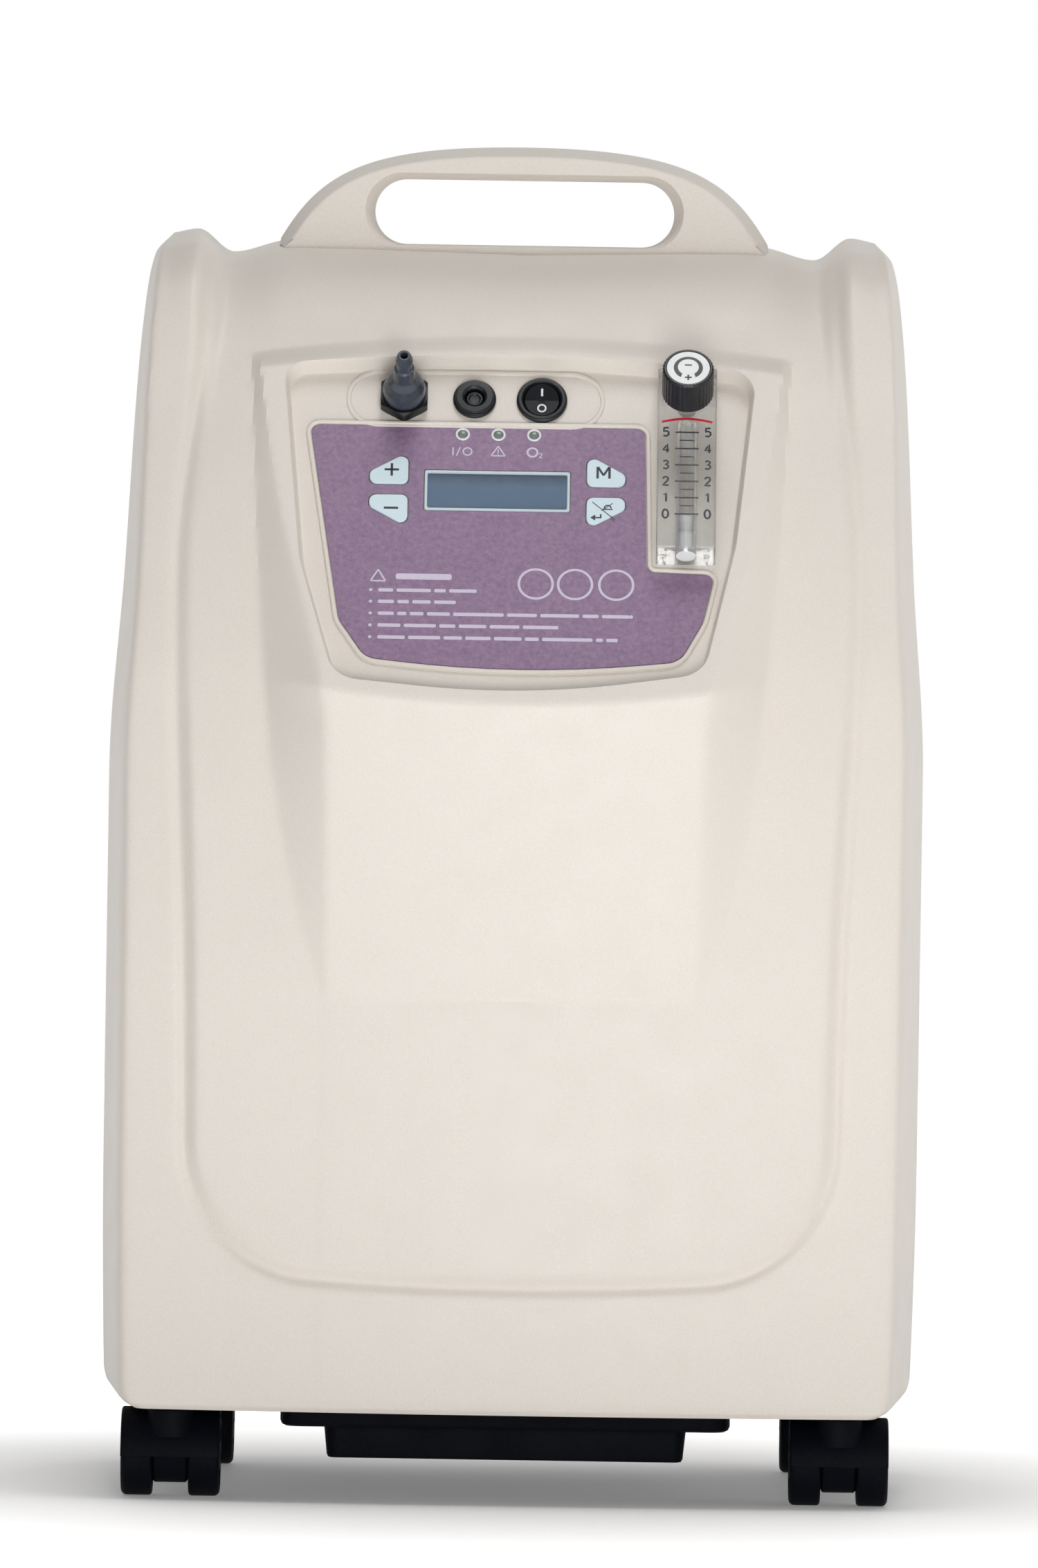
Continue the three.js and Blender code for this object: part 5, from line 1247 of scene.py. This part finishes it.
def caster(place):
    """A caster: a hood and web on a stem, and two wheels with rounded treads and dished sides."""
    sx, sy = CORNERS[place]
    across = axle_frame(place)

    def above(points):
        return points + np.array([sx * CASTER_X, sy * CASTER_Y, 0])

    section = outline([(HOOD_IN, -WHEEL_OUT, 0.4), (HOOD_OUT, -WHEEL_OUT, 1.3),
                       (HOOD_OUT, WHEEL_OUT, 1.3), (HOOD_IN, WHEEL_OUT, 0.4)], 5, 6)
    radius, along_axle = section.T
    turn = np.concatenate([[0.0], np.linspace(0.02, math.pi - 0.02, 48), [math.pi]])
    hood = loft("hood", across(np.stack([
        np.stack([radius * math.cos(t), radius * math.sin(t), along_axle], -1) for t in turn])))
    web_loop = outline([
        (-12, -12, 11), (12, -12, 11), (18.5, 2, 3), (18.9, 8, 3), (12, 17, 2), (-12, 17, 2),
        (-18.9, 8, 3), (-18.5, 2, 3),
    ], 6, 4)
    levels = [(-WEB_HALF, -0.8), (0.8 - WEB_HALF, 0), (WEB_HALF - 0.8, 0), (WEB_HALF, -0.8)]
    web = loft("web", across(stacked(web_loop, levels)))
    pin = WHEEL_OUT - 1
    axle = turned("axle", arcs([(0, -pin), (3, -pin, 0.8), (3, pin, 0.8), (0, pin)]), across, 32)
    stem = turned("stem", arcs([(0, 24), (5.5, 24), (5.5, 54, 0.8), (0, 54)]), above, 32)
    socket = turned("socket", arcs([(0, 26), (10, 26, 1.2), (10, 39, 1.0), (0, 39)]), above, 64)
    room = turned("wheel_room", [(0, -30), (19.3, -30), (19.3, 30), (0, 30)], across, 64)
    combined(socket, [("DIFFERENCE", room)])
    combined(hood, [("UNION", web), ("UNION", axle), ("UNION", stem), ("UNION", socket)])
    hood.name = f"caster_hood_{place}"
    node = f"caster_fork_{place}"
    finish_piece(shaded(hood, 32), NYLON, f"caster_{place}", [node])
    rim = arcs([
        (3.4, WHEEL_IN), (6.5, WHEEL_IN, 0.4), (7.5, WHEEL_IN + 0.8, 0.4),
        (14.5, WHEEL_IN + 0.8, 0.5), (15.5, WHEEL_IN, 0.5), (WHEEL_R, WHEEL_IN, 1.6),
        (WHEEL_R, WHEEL_OUT, 2.6), (15.0, WHEEL_OUT, 0.6), (14.2, WHEEL_OUT - 1.4, 0.6),
        (7.0, WHEEL_OUT - 1.0, 0.6), (6.2, WHEEL_OUT, 0.5), (3.4, WHEEL_OUT, 0.3),
    ], 5)
    for side, name in ((sx, "outer"), (-sx, "inner")):
        wheel = turned(f"wheel_{place}_{name}", rim, axle_frame(place, side), 96)
        node = f"caster_wheel_{place}_{name}"
        finish_piece(shaded(wheel, 32), NYLON, f"wheel_{place}_{name}", [node])


def plan_loft(name, plan, levels):
    """A solid of one plan (half width, front, rear, corner radius) through (height, outward)
    levels."""
    half, front, rear, radius = plan
    loop = box_loop(2 * half, rear - front, radius, 0, (front + rear) / 2, 6, 4)
    return loft(name, stacked(loop, levels))


def exhaust_box():
    """The box under the cabinet: drafted walls with round corners, a flange and rear slots."""
    bottom, top, lip = BOX_BOTTOM, BOX_TOP, FLANGE_BOTTOM
    body = plan_loft("outlet_body", BOX_PLAN, [
        (bottom, -3.5), (bottom + 0.3, -2.6), (bottom + 1.5, -2.0), (top - 1, 0)])
    flange = plan_loft("outlet_flange", FLANGE_PLAN, [
        (lip, -2.5), (lip + 0.8, -0.8), (lip + 2.5, 0), (top - 0.5, 0), (top, -0.5)])
    hollow = plan_loft("outlet_hollow", BOX_PLAN, [(bottom + 2.5, -4.6), (top + 2, -2.5)])
    steps = [("UNION", flange), ("DIFFERENCE", hollow)]
    for i, share in enumerate(BOX_SLOT_SHARES):
        loop = box_loop(20.1, 9, 2, BOX_PLAN[0] * share, bottom + 9)
        steps.append(("DIFFERENCE", loft(f"outlet_slot_{i}", along_y([(loop, 10), (loop, 30)]))))
    combined(body, steps)
    body.name = "air_outlet_box"
    finish_piece(shaded(body, 30), NYLON, "cabinet", ["exhaust_box"])


# ------------------------------------------------------------------ rear fittings
def louvre_cutters(middle, low, high):
    """Slots across a panel, which fall by LOUVRE_SLOPE times the way from low to high."""
    pitch = LOUVRE_SPAN / LOUVRES
    fall = (high - low) * LOUVRE_SLOPE
    for i in range(LOUVRES):
        level = middle - LOUVRE_SPAN / 2 + pitch * (i + 0.5)
        loop = box_loop(LOUVRE_WIDTH, LOUVRE_TALL, 2.4, 0, level)
        inner, outer = loop + (0, fall / 2), loop - (0, fall / 2)
        yield loft(f"louvre_{i}", along_y([(inner, low), (outer, high)]))


def filter_cover():
    """The filter's cover: a panel with a rounded edge, slots that slope down towards the outside
    and a finger notch at its top."""
    inside = BACK - COVER_THICK
    loop = box_loop(COVER_WIDTH, COVER_HEIGHT, 4, 0, FILTER_Z)
    panel = loft("filter_panel", along_y([
        (loop, inside), (loop, BACK - 0.8), (grown(loop, -0.25), BACK - 0.25),
        (grown(loop, -0.8), BACK)]))
    tools = list(louvre_cutters(FILTER_Z - 4, inside - 1, BACK + 1))
    notch = box_loop(40, 12, 3, 0, FILTER_Z + COVER_HEIGHT / 2 - 5)
    tools.append(loft("notch", along_y([
        (notch, inside - 1), (notch, BACK - 0.7), (grown(notch, 0.9), BACK + 0.2)])))
    combined(panel, [("DIFFERENCE", tool) for tool in tools])
    panel.name = "filter_cover_panel"
    finish_piece(shaded(panel, 32), CREAM, "filter_door", ["filter_cover"])


def power_inlet():
    """The mains socket: a flange on a barrel, a cavity with two cut corners and three pins."""
    x, z, face, floor = INLET_X, INLET_Z, HALF_DEPTH, HALF_DEPTH - INLET_DEEP
    flange = box_loop(2 * INLET_HALF_WIDTH, 2 * INLET_HALF_HEIGHT, 3, x, z, 6, 3)
    body = loft("inlet_body", along_y([
        (flange, BACK + GAP), (flange, face - 0.8), (grown(flange, -0.3), face - 0.3),
        (grown(flange, -0.9), face)]))
    barrel = box_loop(27.5, 21, 1, x, z)
    corners = [(-12.2, -8.3, 1), (12.2, -8.3, 1), (12.2, 3.2, 0.6), (7.2, 8.3, 0.6),
               (-7.2, 8.3, 0.6), (-12.2, 3.2, 0.6)]
    cavity = outline([(x + a, z + b, radius) for a, b, radius in corners], 4, 2)
    hollow = along_y([(cavity, floor), (cavity, face - 0.6), (grown(cavity, 0.8), face + 0.3)])
    combined(body, [
        ("UNION", loft("inlet_barrel", along_y([(barrel, BACK - 24), (barrel, BACK + 1)]))),
        ("DIFFERENCE", loft("inlet_cavity", hollow)),
    ])
    body.name = "mains_socket"
    finish_piece(shaded(body, 30), BLACK, "cabinet", ["power_inlet"])
    for name, a, b in (("left", -7, -2), ("right", 7, -2), ("middle", 0, 2)):
        loop = box_loop(1.8, 4, 0.3, x + a, z + b, 2)
        pin = loft(f"mains_pin_{name}", along_y([
            (loop, floor - 1), (loop, floor + 11), (grown(loop, -0.35), floor + 12)]))
        finish_piece(shaded(pin, 30), STEEL, "cabinet")


front_shell()
rear_shell()
label()
label_print()
display()
lamps()
keys()
outlet()
breaker_and_switch()
flowmeter()
meter_scale()
knob()
for corner in CORNERS:
    caster(corner)
exhaust_box()
filter_cover()
power_inlet()


# ------------------------------------------------------------------ CAD nodes that stay
def paint(node, material):
    """A kept CAD node takes a new material."""
    mesh = frame["nodes"][node].data
    mesh.materials.clear()
    mesh.materials.append(material)


SLOT_FINISH = {
    "cream_shell": CREAM, "black_plastic": BLACK, "caster_black": NYLON, "slate_plastic": SLATE,
    "lilac_label": LABEL_FILM, "display_grey": INK_DARK, "indicator_lens": WHITE,
    "pale_key": PALE_KEY, "clear_acrylic": ACRYLIC, "steel": STEEL, "aluminium": ALUMINIUM,
    "black_rubber": RUBBER, "copper": COPPER, "board_green": BOARD_GREEN, "dark_foam": FOAM,
    "white_plastic": WHITE,
}
for part in frame["record"]["subparts"]:
    paint(part["node"], SLOT_FINISH[part["material_slot"]])


# ------------------------------------------------------------------ floor, light and camera
def studio_floor():
    """A pale floor whose faint glow grows with the distance from its middle."""
    corners = [(a * FLOOR_HALF, b * FLOOR_HALF, 0) for a, b in ((-1, -1), (1, -1), (1, 1), (-1, 1))]
    floor = mesh_object("studio_floor", corners, [(0, 1, 2, 3)])
    finish = Finish("studio_floor", (0.92, 0.92, 0.92), 0.6)
    finish.colour(finish.blend(finish.noise(3.0), (0.90, 0.90, 0.90), (0.94, 0.94, 0.94)))
    length = finish.nodes.new("ShaderNodeVectorMath")
    length.operation = "LENGTH"
    finish.links.new(finish.place, length.inputs[0])
    finish.shader.inputs["Emission Color"].default_value = (1, 1, 1, 1)
    glow = finish.spread(length.outputs["Value"], *FLOOR_GLOW)
    finish.links.new(glow, finish.shader.inputs["Emission Strength"])
    floor.data.materials.append(finish.material)


def studio_world():
    """A white surround, brighter towards the rear."""
    world = bpy.data.worlds.new("studio")
    world.use_nodes = True
    tree = world.node_tree
    position = tree.nodes.new("ShaderNodeTexCoord").outputs["Generated"]
    split = tree.nodes.new("ShaderNodeSeparateXYZ")
    tree.links.new(position, split.inputs["Vector"])
    glow = map_range(tree, split.outputs["Y"], WORLD_GLOW)
    tree.links.new(glow, tree.nodes["Background"].inputs["Strength"])
    tree.nodes["Background"].inputs["Color"].default_value = (1, 1, 1, 1)
    SCENE.world = world


def lights():
    """Three large soft lights, each aimed at its target."""
    for name, place, target, size, power in LIGHTS:
        lamp = bpy.data.lights.new(name, "AREA")
        lamp.size = size
        lamp.energy = power
        light = bpy.data.objects.new(name, lamp)
        light.location = place
        aim = Vector(target) - Vector(place)
        light.rotation_euler = aim.to_track_quat("-Z", "Y").to_euler()
        SCENE.collection.objects.link(light)


def camera():
    """A long lens, level with the middle of the cabinet and turned by a degree."""
    lens = bpy.data.cameras.new("camera")
    lens.lens = CAMERA_LENS
    eye = bpy.data.objects.new("camera", lens)
    look = (CAMERA_TARGET - CAMERA_PLACE).to_track_quat("-Z", "Y").to_matrix()
    turned_look = (look @ Matrix.Rotation(CAMERA_ROLL, 3, "Z")).to_4x4()
    eye.matrix_world = Matrix.Translation(CAMERA_PLACE) @ turned_look
    SCENE.collection.objects.link(eye)
    SCENE.camera = eye


studio_floor()
studio_world()
lights()
camera()
SCENE.view_settings.view_transform = "Standard"
